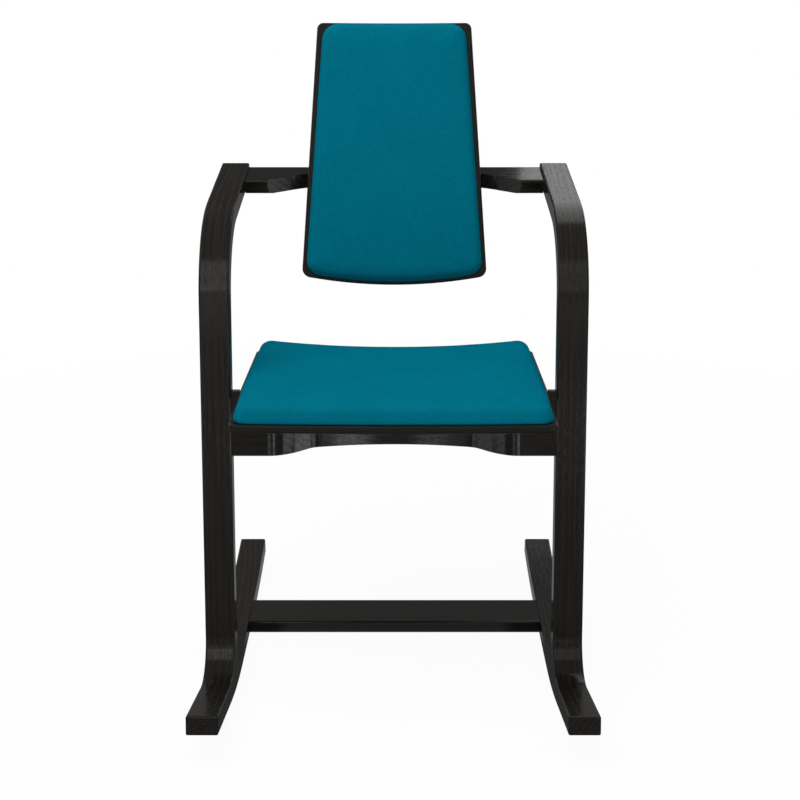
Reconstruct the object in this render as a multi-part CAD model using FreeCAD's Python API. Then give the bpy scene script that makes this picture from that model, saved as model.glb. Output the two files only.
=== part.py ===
"""Ergonomic rocking chair with bent-wood side frames, a moulded seat and a tilting backrest.

Sizes are in millimetres. X runs across the chair with +X on the sitter's left, the sitter
faces -Y and Z points up. The origin lies on the floor, halfway between toe and tail and
halfway between the two side frames. Each piece of the chair is one node.
"""
import FreeCAD
import Part

import math
import os

# Side frames: bent laminated strips
overall_width = 561.0
overall_depth = 666.0
strip_width = 44.0
strip_thickness = 26.5
strip_edge_round = 2.5
arm_end_y = 283.0
arm_end_height = 733.3
arm_slope = 9.0
arm_bend_radius = 150.0
leg_lean = 9.9
heel_y = -136.0
heel_height = 30.0
heel_bend_radius = 55.0
foot_rise = 13.5

# Runners and their scarf joint under the heel
runner_front_radius = 600.0
runner_rear_radius = 1600.0
runner_flat_end_y = 80.0
crotch_lead = 28.0
crotch_radius = 80.0
crotch_root_radius = 3.0
scarf_lead = 12.0
scarf_nib = 3.0

# Stretcher between the runners
stretcher_y = 83.0
stretcher_depth = 80.0
stretcher_thickness = 20.0
stretcher_drop = 0.5
board_edge_round = 3.0

# Crossbar between the armrests, hollowed out for the backrest
back_bar_depth = 72.0
back_bar_thickness = 22.2
back_bar_drop = 5.5
back_bar_inset = 4.0
back_bar_hollow_half_width = 201.0
back_bar_hollow_depth = 40.0
back_bar_hollow_floor_half_width = 128.0
back_bar_hollow_radius = 150.0
hinge_land_half_width = 62.0

# Bent crossbar between the legs that carries the seat
seat_bar_body = 82.6
seat_bar_horn = 13.0
seat_bar_thickness = 20.0
seat_bar_setback = 3.0
seat_bar_bend_start_x = 158.0
seat_bar_bend_end_x = 120.0
seat_bar_bend_depth = 30.0
seat_bar_start_radius = 75.0
seat_bar_end_radius = 29.0
seat_bar_bow = 7.0
seat_bar_bow_share = 0.88
seat_bar_arch = 4.0
seat_bar_arch_half_width = 172.0
seat_bar_notch_clearance = 0.4

# Moulded seat shell and its wooden cleat behind the crossbar
seat_width = 450.0
seat_length = 414.0
seat_front_draw = 3.5
seat_taper_length = 150.0
seat_taper_ease = 60.0
seat_front_y = -221.0
seat_front_height = 455.0
seat_tilt = 1.85
seat_dish_front = 2.0
seat_dish_rear = 14.0
seat_shell_thickness = 11.5
seat_corner_radius = 10.0
shell_edge_round = 3.0
slab_margin = 20.0
cleat_width = 240.0
cleat_depth = 66.0
cleat_height = 42.0

# Backrest shell, measured from the hinge axis
back_recline = 14.9
hinge_setback = 1.0
back_below_hinge = 169.0
back_above_hinge = 244.3
back_bottom_half_width = 148.6
back_top_half_width = 121.6
back_bottom_sag = 14.0
back_bottom_corner_radius = 14.0
back_top_corner_radius = 10.0
back_shell_thickness = 10.0
back_dish = 6.0

# Upholstered pads on thin carrier boards
pad_board_thickness = 5.0
pad_board_inset = 20.0
seat_pad_border = 5.3
seat_pad_front_border = 2.0
seat_pad_height = 25.0
seat_pad_crown = 0.6
seat_pad_corner_radius = 16.0
seat_pad_edge_roll = 15.0
back_pad_border = 7.8
back_pad_bottom_border = 5.0
back_pad_top_border = 3.0
back_pad_height = 19.0
back_pad_crown = 4.0
back_pad_corner_radius = 15.0
back_pad_edge_roll = 11.0
pad_base_roll = 1.0
pad_clearance = 0.3

# Tilt hinge of the backrest
hinge_pin_radius = 3.0
hinge_running_clearance = 0.05
hinge_bush_wall = 1.5
hinge_bush_length = 20.0
hinge_bush_flange_radius = 6.0
hinge_bush_flange_thickness = 1.5
hinge_end_play = 0.5
hinge_knuckle_wall = 2.0
hinge_knuckle_half_length = 44.0
hinge_plate_half_height = 42.0
hinge_base_thickness = 3.0
hinge_base_gap = 8.0
hinge_leaf_thickness = 4.0
hinge_leaf_gap = 7.0
hinge_ear_thickness = 4.0
hinge_ear_radius = 8.0
hinge_pin_overhang = 3.0
hinge_pin_head_radius = 5.0
buffer_radius = 7.0
buffer_height = 9.0
buffer_x = 30.0
buffer_reach = 31.0

# Connector bolts with barrel nuts, and the smaller fasteners
bolt_radius = 3.0
bolt_head_radius = 8.0
bolt_head_height = 3.5
bolt_hole_clearance = 0.3
bolt_socket_width = 4.0
bolt_socket_depth = 2.2
barrel_radius = 5.0
barrel_length = 13.0
barrel_setback = 32.0
thread_clearance = 0.1
back_bar_bolt_spacing = 36.0
stretcher_bolt_spacing = 40.0
seat_bar_bolt_spacing = 46.0
tee_nut_flange_radius = 9.0
tee_nut_flange_thickness = 1.5
tee_nut_sleeve_wall = 1.2
seat_bolt_x = 90.0
seat_bolt_front_margin = 22.0
seat_bolt_spacing = 28.0
screw_radius = 2.2
screw_head_radius = 4.5
screw_head_height = 2.4
screw_grip_in_board = 4.0
pad_screw_edge = 60.0
base_screw_x = 28.0
base_screw_length = 18.0
leaf_screw_x = 13.0

inner_x = overall_width / 2 - strip_width
outer_x = overall_width / 2
X_AXIS = FreeCAD.Vector(1, 0, 0)
SIDES = (1, -1)
SOCKET_SIDES = 6
TOUCHING = 0.01


def vector(x, y, z):
    """Short name for a point or direction."""
    return FreeCAD.Vector(x, y, z)


def frame_about_x(angle, y, z):
    """Local frame turned about X by an angle in degrees, with its zero at (0, y, z)."""
    return FreeCAD.Placement(vector(0, y, z), FreeCAD.Rotation(X_AXIS, angle))


def placed(shape, frame):
    """Copy of a shape that was drawn in a local frame, moved to its place in the chair."""
    moved = shape.copy()
    moved.Placement = frame.multiply(moved.Placement)
    return moved


def mirrored(shape):
    """The same piece for the other side of the chair."""
    return shape.mirror(vector(0, 0, 0), X_AXIS)


def across(point):
    """The same point on the other side of the chair."""
    return vector(-point.x, point.y, point.z)


def line(start, end):
    """Straight edge."""
    return Part.makeLine(start, end)


def arc(start, middle, end):
    """Circular edge through three points."""
    return Part.Arc(start, middle, end).toShape()


def arc_about(centre, start, end):
    """The shorter circular edge from start to end about a centre."""
    outward = (start - centre).normalize() + (end - centre).normalize()
    middle = centre + outward.normalize() * (start - centre).Length
    return arc(start, middle, end)


def rounded_chain(corners, radii):
    """Edges along a chain of corners, with each inner corner rounded by its radius."""
    edges = []
    start = corners[0]
    for before, corner, after, radius in zip(corners, corners[1:], corners[2:], radii):
        back = (before - corner).normalize()
        ahead = (after - corner).normalize()
        half_angle = back.getAngle(ahead) / 2
        reach = radius / math.tan(half_angle)
        centre = corner + (back + ahead).normalize() * (radius / math.sin(half_angle))
        edges.append(line(start, corner + back * reach))
        edges.append(arc_about(centre, corner + back * reach, corner + ahead * reach))
        start = corner + ahead * reach
    edges.append(line(start, corners[-1]))
    return edges


def closed_outline(corners, radii):
    """Edges of a closed outline whose corners are rounded, all of them in one plane."""
    first_middle = (corners[-1] + corners[0]) * 0.5
    chain = [first_middle] + list(corners) + [first_middle]
    return rounded_chain(chain, radii)


def meeting(point, direction, other_point, other_direction):
    """Where two lines in the side view (Y, Z) meet."""
    cross = direction.y * other_direction.z - direction.z * other_direction.y
    gap = other_point - point
    along = (gap.y * other_direction.z - gap.z * other_direction.y) / cross
    return point + direction * along


def circle_meeting(centre, radius, other_centre, other_radius):
    """Lower meeting point of two circles in the side view."""
    way = other_centre - centre
    along = (way.Length ** 2 + radius ** 2 - other_radius ** 2) / (2 * way.Length)
    off = math.sqrt(radius ** 2 - along ** 2)
    way.normalize()
    sideways = vector(0, way.z, -way.y)
    meetings = (centre + way * along + sideways * off, centre + way * along - sideways * off)
    return min(meetings, key=lambda point: point.z)


def point_beyond(start, through, distance):
    """Point a distance past the second of two points."""
    return through + (through - start).normalize() * distance


def face_from(edges):
    """Flat face inside a closed chain of edges."""
    return Part.Face(Part.Wire(edges))


def edge_middle(edge):
    """Point halfway along an edge."""
    return edge.valueAt((edge.FirstParameter + edge.LastParameter) / 2)


def edges_through(shape, points):
    """Edges of a shape whose middles lie at the given points."""
    return [edge for edge in shape.Edges
            if any(edge_middle(edge).distanceToPoint(point) < TOUCHING for point in points)]


def rod(radius, start, end):
    """Round bar from start to end."""
    return Part.makeCylinder(radius, (end - start).Length, start, end - start)


def block(x_range, y_range, z_range):
    """Box between pairs of limits."""
    return Part.makeBox(x_range[1] - x_range[0], y_range[1] - y_range[0], z_range[1] - z_range[0],
                        vector(x_range[0], y_range[0], z_range[0]))


def in_one_node(solids):
    """Group of separate solids that share a node."""
    return Part.makeCompound(list(solids))


class SideProfile:
    """Side view of one bent-wood frame, with the points that its pieces share."""

    def __init__(self):
        self.arm_way = vector(0, math.cos(math.radians(arm_slope)), math.sin(math.radians(arm_slope)))
        self.leg_way = vector(0, math.sin(math.radians(leg_lean)), math.cos(math.radians(leg_lean)))
        self.foot_way = vector(0, -math.cos(math.radians(foot_rise)), math.sin(math.radians(foot_rise)))
        self.arm_down = vector(0, self.arm_way.z, -self.arm_way.y)
        self.leg_back = vector(0, self.leg_way.z, -self.leg_way.y)
        self.foot_down = vector(0, -self.foot_way.z, self.foot_way.y)
        self.place_strip_corners()
        self.place_runner_points()
        self.place_scarf_points()

    def place_strip_corners(self):
        """Corners of the strip that runs from the armrest down the leg to the toe."""
        inward = strip_thickness
        self.arm_end = vector(0, arm_end_y, arm_end_height)
        self.heel = vector(0, heel_y, heel_height)
        self.arm_corner = meeting(self.arm_end, self.arm_way, self.heel, self.leg_way)
        self.arm_end_low = self.arm_end + self.arm_down * inward
        self.leg_rear = self.heel + self.leg_back * inward
        self.arm_corner_low = meeting(self.arm_end_low, self.arm_way, self.leg_rear, self.leg_way)
        sole = self.heel + self.foot_down * inward
        reach = (overall_depth / 2 + sole.y) / -self.foot_way.y
        self.toe_low = sole + self.foot_way * reach
        self.toe_top = self.toe_low - self.foot_down * inward
        self.sole = sole

    def place_runner_points(self):
        """Points of the runner: flat in the middle, curved up to the toe and the tail."""
        floor_corner = meeting(self.sole, self.foot_way, vector(0, 0, 0), vector(0, 1, 0))
        turn = math.radians(foot_rise)
        reach = runner_front_radius * math.tan(turn / 2)
        self.front_centre = vector(0, floor_corner.y + reach, runner_front_radius)
        self.front_end = floor_corner + self.foot_way * reach
        self.rear_centre = vector(0, runner_flat_end_y, runner_rear_radius)
        run = overall_depth / 2 - runner_flat_end_y
        rise = math.sqrt(runner_rear_radius ** 2 - run ** 2)
        self.tail_low = vector(0, overall_depth / 2, runner_rear_radius - rise)
        to_centre = (self.rear_centre - self.tail_low).normalize()
        self.tail_top = self.tail_low + to_centre * strip_thickness

    def place_scarf_points(self):
        """Points of the scarf joint between runner and strip, and of the crotch behind the leg."""
        self.nose_low = self.front_end + self.foot_way * scarf_lead
        self.nose_top = self.nose_low - self.foot_down * scarf_nib
        top_radius = runner_front_radius - strip_thickness
        drop = math.sqrt(top_radius ** 2 - crotch_lead ** 2)
        self.crotch = vector(0, self.front_centre.y - crotch_lead, runner_front_radius - drop)
        offset = (self.crotch - self.leg_rear).dot(self.leg_back)
        along = (self.crotch - self.leg_rear).dot(self.leg_way)
        climb = math.sqrt(2 * crotch_radius * offset - offset ** 2)
        self.crotch_end = self.leg_rear + self.leg_way * (along + climb)
        self.crotch_centre = self.crotch_end + self.leg_back * crotch_radius
        self.root_centre = circle_meeting(self.crotch_centre, crotch_radius - crotch_root_radius,
                                          self.front_centre, top_radius - crotch_root_radius)
        self.root_start = point_beyond(self.front_centre, self.root_centre, crotch_root_radius)
        self.root_end = point_beyond(self.crotch_centre, self.root_centre, crotch_root_radius)

    def frame_edges(self):
        """Outline of the whole frame: the bent strip and the runner glued under its heel."""
        up = vector(0, 0, strip_thickness)
        front_start = vector(0, self.front_centre.y, 0)
        rear_start = vector(0, self.rear_centre.y, 0)
        outer = rounded_chain([self.arm_end, self.arm_corner, self.heel, self.toe_top],
                              [arm_bend_radius, heel_bend_radius])
        bottom = [line(self.toe_top, self.toe_low), line(self.toe_low, self.front_end),
                  arc_about(self.front_centre, self.front_end, front_start),
                  line(front_start, rear_start),
                  arc_about(self.rear_centre, rear_start, self.tail_low)]
        top = [line(self.tail_low, self.tail_top),
               arc_about(self.rear_centre, self.tail_top, rear_start + up),
               line(rear_start + up, front_start + up),
               arc_about(self.front_centre, front_start + up, self.root_start),
               arc_about(self.root_centre, self.root_start, self.root_end),
               arc_about(self.crotch_centre, self.root_end, self.crotch_end)]
        inner = rounded_chain([self.crotch_end, self.arm_corner_low, self.arm_end_low],
                              [arm_bend_radius - strip_thickness])
        return outer + bottom + top + inner + [line(self.arm_end_low, self.arm_end)]

    def runner_side(self):
        """Region of the side view that holds the runner, bounded by the scarf joint."""
        far = overall_depth
        corners = [self.nose_top, self.crotch, self.crotch + vector(0, far, far / 2),
                   vector(0, far, -far), self.nose_top + self.foot_down * far, self.nose_top]
        return Part.Face(Part.makePolygon(corners))


profile = SideProfile()


def make_left_frame():
    """Left-hand frame with rounded edges, parted at the scarf joint into strip and runner."""
    face = face_from(profile.frame_edges())
    face.translate(X_AXIS * inner_x)
    solid = face.extrude(X_AXIS * strip_width)
    ends = [profile.arm_end, profile.arm_end_low, profile.toe_top, profile.toe_low,
            profile.tail_low, profile.tail_top]
    end_edges = edges_through(solid, [corner + X_AXIS * (inner_x + strip_width / 2) for corner in ends])
    along = [edge for edge in solid.Edges if abs(edge.Vertexes[0].X - edge.Vertexes[-1].X) < TOUCHING]
    rounded = solid.makeFillet(strip_edge_round, along + end_edges)
    runner_room = profile.runner_side().extrude(X_AXIS * overall_width)
    return rounded.cut(runner_room), rounded.common(runner_room)


def connector_bolt(place):
    """Left-hand connector bolt along X, with a hexagon socket, at a point of the side view."""
    floor_x = outer_x - bolt_head_height
    tip_x = inner_x - barrel_setback - barrel_radius - bolt_radius
    head = rod(bolt_head_radius, place + X_AXIS * floor_x, place + X_AXIS * outer_x)
    shank = rod(bolt_radius, place + X_AXIS * tip_x, place + X_AXIS * floor_x)
    corner_radius = bolt_socket_width / math.sqrt(3)
    turns = [2 * math.pi * step / SOCKET_SIDES for step in range(SOCKET_SIDES + 1)]
    corners = [place + vector(outer_x - bolt_socket_depth, corner_radius * math.cos(turn),
                              corner_radius * math.sin(turn)) for turn in turns]
    socket = Part.Face(Part.makePolygon(corners)).extrude(X_AXIS * bolt_socket_depth)
    return head.fuse(shank).removeSplitter().cut(socket)


def connector_bore(place):
    """Room for a connector bolt: clearance hole and sunk seat for its head."""
    tip_x = inner_x - barrel_setback - barrel_radius - 2 * bolt_radius
    hole = rod(bolt_radius + bolt_hole_clearance, place + X_AXIS * tip_x, place + X_AXIS * outer_x)
    seat = rod(bolt_head_radius + bolt_hole_clearance, place + X_AXIS * (outer_x - bolt_head_height),
               place + X_AXIS * (outer_x + bolt_head_height))
    return hole.fuse(seat)


def barrel_nut(place, way_out):
    """Left-hand barrel nut across a connector bolt; way_out points to the hole's mouth."""
    centre = place + X_AXIS * (inner_x - barrel_setback)
    half = way_out * (barrel_length / 2)
    reach = X_AXIS * barrel_length
    bore = rod(bolt_radius + thread_clearance, centre - reach, centre + reach)
    return rod(barrel_radius, centre - half, centre + half).cut(bore)


def barrel_bore(place, way_out):
    """Blind hole for a barrel nut, open towards way_out."""
    centre = place + X_AXIS * (inner_x - barrel_setback)
    return rod(barrel_radius + thread_clearance, centre - way_out * (barrel_length / 2),
               centre + way_out * (2 * barrel_length))


class Joint:
    """Bolted joint between the side frames and the ends of a crossbar."""

    def __init__(self, places, way_out):
        self.places = places
        self.way_out = way_out

    def both_sides(self, maker, *extra):
        """One shape per bolt on the left and its mirror image on the right."""
        left = [maker(place, *extra) for place in self.places]
        return left + [mirrored(shape) for shape in left]

    def bolts(self):
        """Connector bolts of the joint."""
        return self.both_sides(connector_bolt)

    def barrels(self):
        """Barrel nuts of the joint."""
        return self.both_sides(barrel_nut, self.way_out)

    def bore_bar(self, bar):
        """The crossbar with its holes for bolts and barrel nuts."""
        return bar.cut(self.both_sides(connector_bore) + self.both_sides(barrel_bore, self.way_out))

    def bore_left_strip(self, strip):
        """A left-hand strip with its bolt holes."""
        return strip.cut([connector_bore(place) for place in self.places])


def pair_about(centre, way, spacing):
    """Two points on either side of a centre along a direction."""
    return [centre + way * (spacing / 2), centre - way * (spacing / 2)]


# Stretcher, laid along the slope that the runner has there
stretcher_angle = math.asin((stretcher_y - runner_flat_end_y) / (runner_rear_radius - strip_thickness))
stretcher_up = vector(0, -math.sin(stretcher_angle), math.cos(stretcher_angle))
stretcher_along = vector(0, math.cos(stretcher_angle), math.sin(stretcher_angle))
stretcher_top = profile.rear_centre - stretcher_up * (runner_rear_radius - strip_thickness + stretcher_drop)
stretcher_middle = stretcher_top - stretcher_up * (stretcher_thickness / 2)
stretcher_frame = frame_about_x(math.degrees(stretcher_angle), stretcher_middle.y, stretcher_middle.z)
stretcher_joint = Joint(pair_about(stretcher_middle, stretcher_along, stretcher_bolt_spacing), -stretcher_up)


def board(length, depth, thickness):
    """Flat board centred in its local frame, with its long edges rounded."""
    solid = block((-length / 2, length / 2), (-depth / 2, depth / 2), (-thickness / 2, thickness / 2))
    long_edges = [vector(0, y, z) for y in (-depth / 2, depth / 2) for z in (-thickness / 2, thickness / 2)]
    return solid.makeFillet(board_edge_round, edges_through(solid, long_edges))


def make_stretcher():
    """Flat board between the runners."""
    blank = placed(board(2 * inner_x, stretcher_depth, stretcher_thickness), stretcher_frame)
    return stretcher_joint.bore_bar(blank)


# Back bar, parallel to the armrests
bar_up = -profile.arm_down
bar_middle = (profile.arm_end - bar_up * (back_bar_drop + back_bar_thickness / 2)
              - profile.arm_way * (back_bar_inset + back_bar_depth / 2))
bar_frame = frame_about_x(arm_slope, bar_middle.y, bar_middle.z)
back_bar_joint = Joint(pair_about(bar_middle, profile.arm_way, back_bar_bolt_spacing), -bar_up)

# Backrest frame: local x across, y up along the backrest, z towards the sitter, zero on the hinge axis
hinge_axis = bar_middle + profile.arm_way * hinge_setback
back_frame = frame_about_x(90 - back_recline, hinge_axis.y, hinge_axis.z)
back_length = back_below_hinge + back_above_hinge
back_rear_z = hinge_leaf_gap + hinge_leaf_thickness
back_front_z = back_rear_z + back_shell_thickness


def make_back_bar():
    """Crossbar between the armrests, hollowed in an arc at the front, with a flat land for the hinge."""
    bar = placed(board(2 * inner_x, back_bar_depth, back_bar_thickness), bar_frame)
    front_y = bar_middle.y - profile.arm_way.y * back_bar_depth / 2
    low_z = bar_middle.z - back_bar_depth
    left = vector(back_bar_hollow_half_width, front_y, low_z)
    floor_left = vector(back_bar_hollow_floor_half_width, front_y + back_bar_hollow_depth, low_z)
    right = across(left)
    clear = vector(0, -back_bar_depth, 0)
    hollow = face_from(rounded_chain([left, floor_left, across(floor_left), right],
                                     [back_bar_hollow_radius, back_bar_hollow_radius])
                       + [line(right, right + clear), line(right + clear, left + clear),
                          line(left + clear, left)])
    land_z = -hinge_base_gap - hinge_base_thickness
    pocket = placed(block((-hinge_land_half_width, hinge_land_half_width),
                          (-back_bar_depth, back_bar_depth), (land_z, back_bar_depth)), back_frame)
    bar = bar.cut(hollow.extrude(vector(0, 0, 2 * back_bar_depth))).cut(pocket)
    for place in base_screw_places():
        bar = bar.cut(placed(rod(screw_radius, place, place - vector(0, 0, base_screw_length)), back_frame))
    return back_bar_joint.bore_bar(bar)


def base_screw_places():
    """Screws that hold the hinge base on the bar, at the plate's front face."""
    return [vector(x, 0, -hinge_base_gap) for x in (-base_screw_x, base_screw_x)]


# Seat frame: local x across, y back from the front edge, z up, zero on the rim's front edge
seat_frame = frame_about_x(-seat_tilt, seat_front_y, seat_front_height)


def dish_radius(half_width, dish):
    """Radius of an arc that sinks by a dish over a half-width."""
    return (half_width ** 2 + dish ** 2) / (2 * dish)


def dish_rise(half_width, dish, x):
    """Rise of such an arc above its lowest point at a distance from the middle."""
    radius = dish_radius(half_width, dish)
    return radius - math.sqrt(radius ** 2 - x ** 2)


def dished_slab(half_width, length, dishes, low, high, crown):
    """Slab between two heights that follows a dished surface and stands out past its shell.

    Args:
        half_width: half of the shell's greatest width.
        length: length of the shell.
        dishes: how far the middle lies below the rim at the near and the far end.
        low: lower limit above the dished surface.
        high: upper limit above the dished surface.
        crown: how much higher the upper limit lies in the middle.
    """
    change = (dishes[1] - dishes[0]) * slab_margin / length
    reach = half_width + slab_margin
    sections = []
    for y, dish in ((-slab_margin, dishes[0] - change), (length + slab_margin, dishes[1] + change)):
        rise = vector(0, 0, dish_rise(half_width, dish, reach))
        low_middle = vector(0, y, low - dish)
        high_middle = vector(0, y, high - dish)
        side = vector(reach, 0, 0)
        sections.append(Part.Wire([
            arc(low_middle - side + rise, low_middle, low_middle + side + rise),
            line(low_middle + side + rise, high_middle + side + rise),
            arc(high_middle + side + rise, high_middle + vector(0, 0, crown), high_middle - side + rise),
            line(high_middle - side + rise, low_middle - side + rise)]))
    return Part.makeLoft(sections, True, True)


def prism(edges, low, high):
    """Upright prism on a closed outline in a local frame."""
    face = face_from(edges)
    face.translate(vector(0, 0, low))
    return face.extrude(vector(0, 0, high - low))


def seat_outline(inset, front_inset, corner_radius):
    """Outline of the seat seen from above, drawn in by insets; a little narrower at the front."""
    half = seat_width / 2 - inset
    side = [vector(half - seat_front_draw, front_inset, 0), vector(half, seat_taper_length, 0),
            vector(half, seat_length - inset, 0)]
    taper = math.atan2(seat_front_draw, seat_taper_length - front_inset)
    radii = [corner_radius, seat_taper_ease / math.tan(taper / 2), corner_radius]
    corners = side + [across(corner) for corner in reversed(side)]
    return closed_outline(corners, radii + radii[::-1])


def seat_slab(low, high, crown=0.0):
    """Part of the dished seat between two heights above the shell's top."""
    return dished_slab(seat_width / 2, seat_length, (seat_dish_front, seat_dish_rear), low, high, crown)


def seat_layer(low, high, outline, crown=0.0):
    """Layer of the seat inside an outline, in the seat's frame."""
    return seat_slab(low, high, crown).common(prism(outline, -seat_length, seat_length))


def back_half_width_at(y, inset):
    """Half-width of the backrest at a height along it, drawn in by an inset."""
    share = (y + back_below_hinge) / back_length
    return back_bottom_half_width + (back_top_half_width - back_bottom_half_width) * share - inset


def back_outline(side_inset, bottom_inset, top_inset, bottom_radius, top_radius):
    """Outline of the backrest from the front, drawn in by insets; wider below, with a bowed lower edge."""
    low = -back_below_hinge + bottom_inset
    side_low = low + back_bottom_sag
    high = back_above_hinge - top_inset
    corner = vector(back_half_width_at(side_low, side_inset), side_low, 0)
    top = vector(back_half_width_at(high, side_inset), high, 0)
    bow_radius = dish_radius(corner.x, back_bottom_sag)
    bow_centre = vector(0, low + bow_radius, 0)
    upward = (top - corner).normalize()
    inward = vector(-upward.y, upward.x, 0)
    from_bow = corner + inward * bottom_radius - bow_centre
    along = from_bow.dot(upward)
    climb = -along - math.sqrt(along ** 2 - from_bow.Length ** 2 + (bow_radius - bottom_radius) ** 2)
    centre = bow_centre + from_bow + upward * climb
    bow_end = point_beyond(bow_centre, centre, bottom_radius)
    side_end = centre - inward * bottom_radius
    bow = arc(across(bow_end), vector(0, low, 0), bow_end)
    sides = rounded_chain([side_end, top, across(top), across(side_end)], [top_radius, top_radius])
    return ([bow, arc_about(centre, bow_end, side_end)] + sides
            + [arc_about(across(centre), across(side_end), across(bow_end))])


def back_slab(low, high, crown=0.0):
    """Part of the curved backrest between two heights above the shell's front."""
    slab = dished_slab(back_bottom_half_width, back_length, (back_dish, back_dish), low, high, crown)
    slab.translate(vector(0, -back_below_hinge, back_front_z + back_dish))
    return slab


def back_layer(low, high, outline, crown=0.0):
    """Layer of the backrest inside an outline, in the backrest's frame."""
    return back_slab(low, high, crown).common(prism(outline, -back_length, back_length))


def upholstered(blank, edge_roll):
    """A pad whose cover rolls over at the sitting face and is drawn in below at the base."""
    base_face, sitting_face = sorted(sorted(blank.Faces, key=lambda face: face.Area)[-2:],
                                     key=lambda face: face.CenterOfMass.z)
    rolled = blank.makeFillet(edge_roll, sitting_face.Edges)
    base_points = [edge_middle(edge) for edge in base_face.Edges]
    return rolled.makeFillet(pad_base_roll, edges_through(rolled, base_points))


def softened(shell):
    """A shell with the edges of its two broad faces rounded."""
    broad = sorted(shell.Faces, key=lambda face: face.Area)[-2:]
    return shell.makeFillet(shell_edge_round, [edge for face in broad for edge in face.Edges])


# Seat crossbar: local x across, y backwards square to the leg, z up along the leg
seat_underside = seat_frame.multVec(vector(0, 0, -seat_shell_thickness))
seat_way = seat_frame.Rotation.multVec(vector(0, 1, 0))
seat_bar_face = profile.heel + profile.leg_back * seat_bar_setback
seat_bar_foot = (meeting(seat_bar_face, profile.leg_way, seat_underside, seat_way)
                 - profile.leg_way * seat_bar_body)
seat_bar_length_up = seat_bar_body + seat_bar_horn
seat_bar_frame = frame_about_x(-leg_lean, seat_bar_foot.y, seat_bar_foot.z)
seat_bar_bolt_middle = (seat_bar_foot + profile.leg_back * (seat_bar_thickness / 2)
                        + profile.leg_way * (seat_bar_body / 2))
seat_bar_joint = Joint(pair_about(seat_bar_bolt_middle, profile.leg_way, seat_bar_bolt_spacing),
                       profile.leg_back)


# The bow in the middle is an arc between two tangents, which meet at twice its depth
bow_slope = math.atan2(2 * seat_bar_bow, seat_bar_bend_end_x)
bow_radius = seat_bar_bow_share * seat_bar_bend_end_x / math.sin(bow_slope)
bow_corner_depth = seat_bar_bend_depth + 2 * seat_bar_bow
seat_bar_middle_depth = bow_corner_depth - bow_radius * (1 / math.cos(bow_slope) - 1)


def seat_bar_blank():
    """Bent strip of constant thickness, drawn back in the middle, longer than the finished bar."""
    corners = [vector(inner_x, 0, 0), vector(seat_bar_bend_start_x, 0, 0),
               vector(seat_bar_bend_end_x, seat_bar_bend_depth, 0), vector(0, bow_corner_depth, 0)]
    corners += [across(corner) for corner in reversed(corners[:-1])]
    radii = [seat_bar_start_radius, seat_bar_end_radius, bow_radius,
             seat_bar_end_radius, seat_bar_start_radius]
    front = Part.Wire(rounded_chain(corners, radii))
    rear_edges = offset_chain(corners, radii, seat_bar_thickness)
    left = line(vector(inner_x, seat_bar_thickness, 0), vector(inner_x, 0, 0))
    right = line(vector(-inner_x, 0, 0), vector(-inner_x, seat_bar_thickness, 0))
    face = face_from(Part.__sortEdges__(front.Edges + [right] + rear_edges + [left]))
    face.translate(vector(0, 0, -seat_bar_length_up / 2))
    return placed(face.extrude(vector(0, 0, 2 * seat_bar_length_up)), seat_bar_frame)


def offset_chain(corners, radii, distance):
    """Edges parallel to a rounded chain, set back along +Y by a distance."""
    ways = [(after - before).normalize() for before, after in zip(corners, corners[1:])]
    normals = [vector(way.y, -way.x, 0) for way in ways]
    shifted = [corners[0] + normals[0] * distance]
    new_radii = []
    for corner, first, second, way, next_way, radius in zip(corners[1:], normals, normals[1:], ways, ways[1:],
                                                            radii):
        bisector = (first + second).normalize()
        shifted.append(corner + bisector * (distance / bisector.dot(first)))
        turns_back = way.x * next_way.y - way.y * next_way.x < 0
        new_radii.append(radius - distance if turns_back else radius + distance)
    shifted.append(corners[-1] + normals[-1] * distance)
    return rounded_chain(shifted, new_radii)


def seat_room():
    """Space above the underside of the seat shell, a little wider than the shell."""
    half = seat_width / 2 + seat_bar_notch_clearance
    column = block((-half, half), (0, seat_length), (-seat_width, seat_width))
    return placed(seat_slab(-seat_shell_thickness, seat_width / 2).common(column), seat_frame)


def make_seat_bar():
    """Bent crossbar between the legs: arched below, notched above to take the seat shell."""
    blank = seat_bar_blank()
    low = seat_bar_foot.z
    half = seat_bar_arch_half_width
    depth = seat_length
    front_y = seat_bar_foot.y - depth / 2
    below = [vector(inner_x, front_y, low), vector(half, front_y, low),
             vector(-half, front_y, low), vector(-inner_x, front_y, low),
             vector(-inner_x, front_y, low - depth), vector(inner_x, front_y, low - depth)]
    arch = arc(below[1], vector(0, front_y, low + seat_bar_arch), below[2])
    edges = [line(below[0], below[1]), arch, line(below[2], below[3]), line(below[3], below[4]),
             line(below[4], below[5]), line(below[5], below[0])]
    under = face_from(edges).extrude(vector(0, depth, 0))
    above = placed(block((-outer_x, outer_x), (-depth, depth), (seat_bar_length_up, depth)), seat_bar_frame)
    return seat_bar_joint.bore_bar(blank.cut(under).cut(above).cut(seat_room()))


def seat_bolt_places():
    """Seat bolts in the seat's frame: two rows through the cleat, at the shell's rim height."""
    cleat_front = seat_frame.inverse().multVec(cleat_front_point()).y
    rows = [cleat_front + seat_bolt_front_margin, cleat_front + seat_bolt_front_margin + seat_bolt_spacing]
    return [vector(x, y, 0) for x in (-seat_bolt_x, seat_bolt_x) for y in rows]


def cleat_front_point():
    """Rear face of the crossbar in the middle, just under the seat shell."""
    top = seat_bar_foot + profile.leg_way * seat_bar_body
    return top + profile.leg_back * (seat_bar_middle_depth + seat_bar_thickness)


def cleat_bottom_z():
    """Underside of the cleat in the seat's frame."""
    return -seat_shell_thickness - seat_dish_rear - cleat_height


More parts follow.
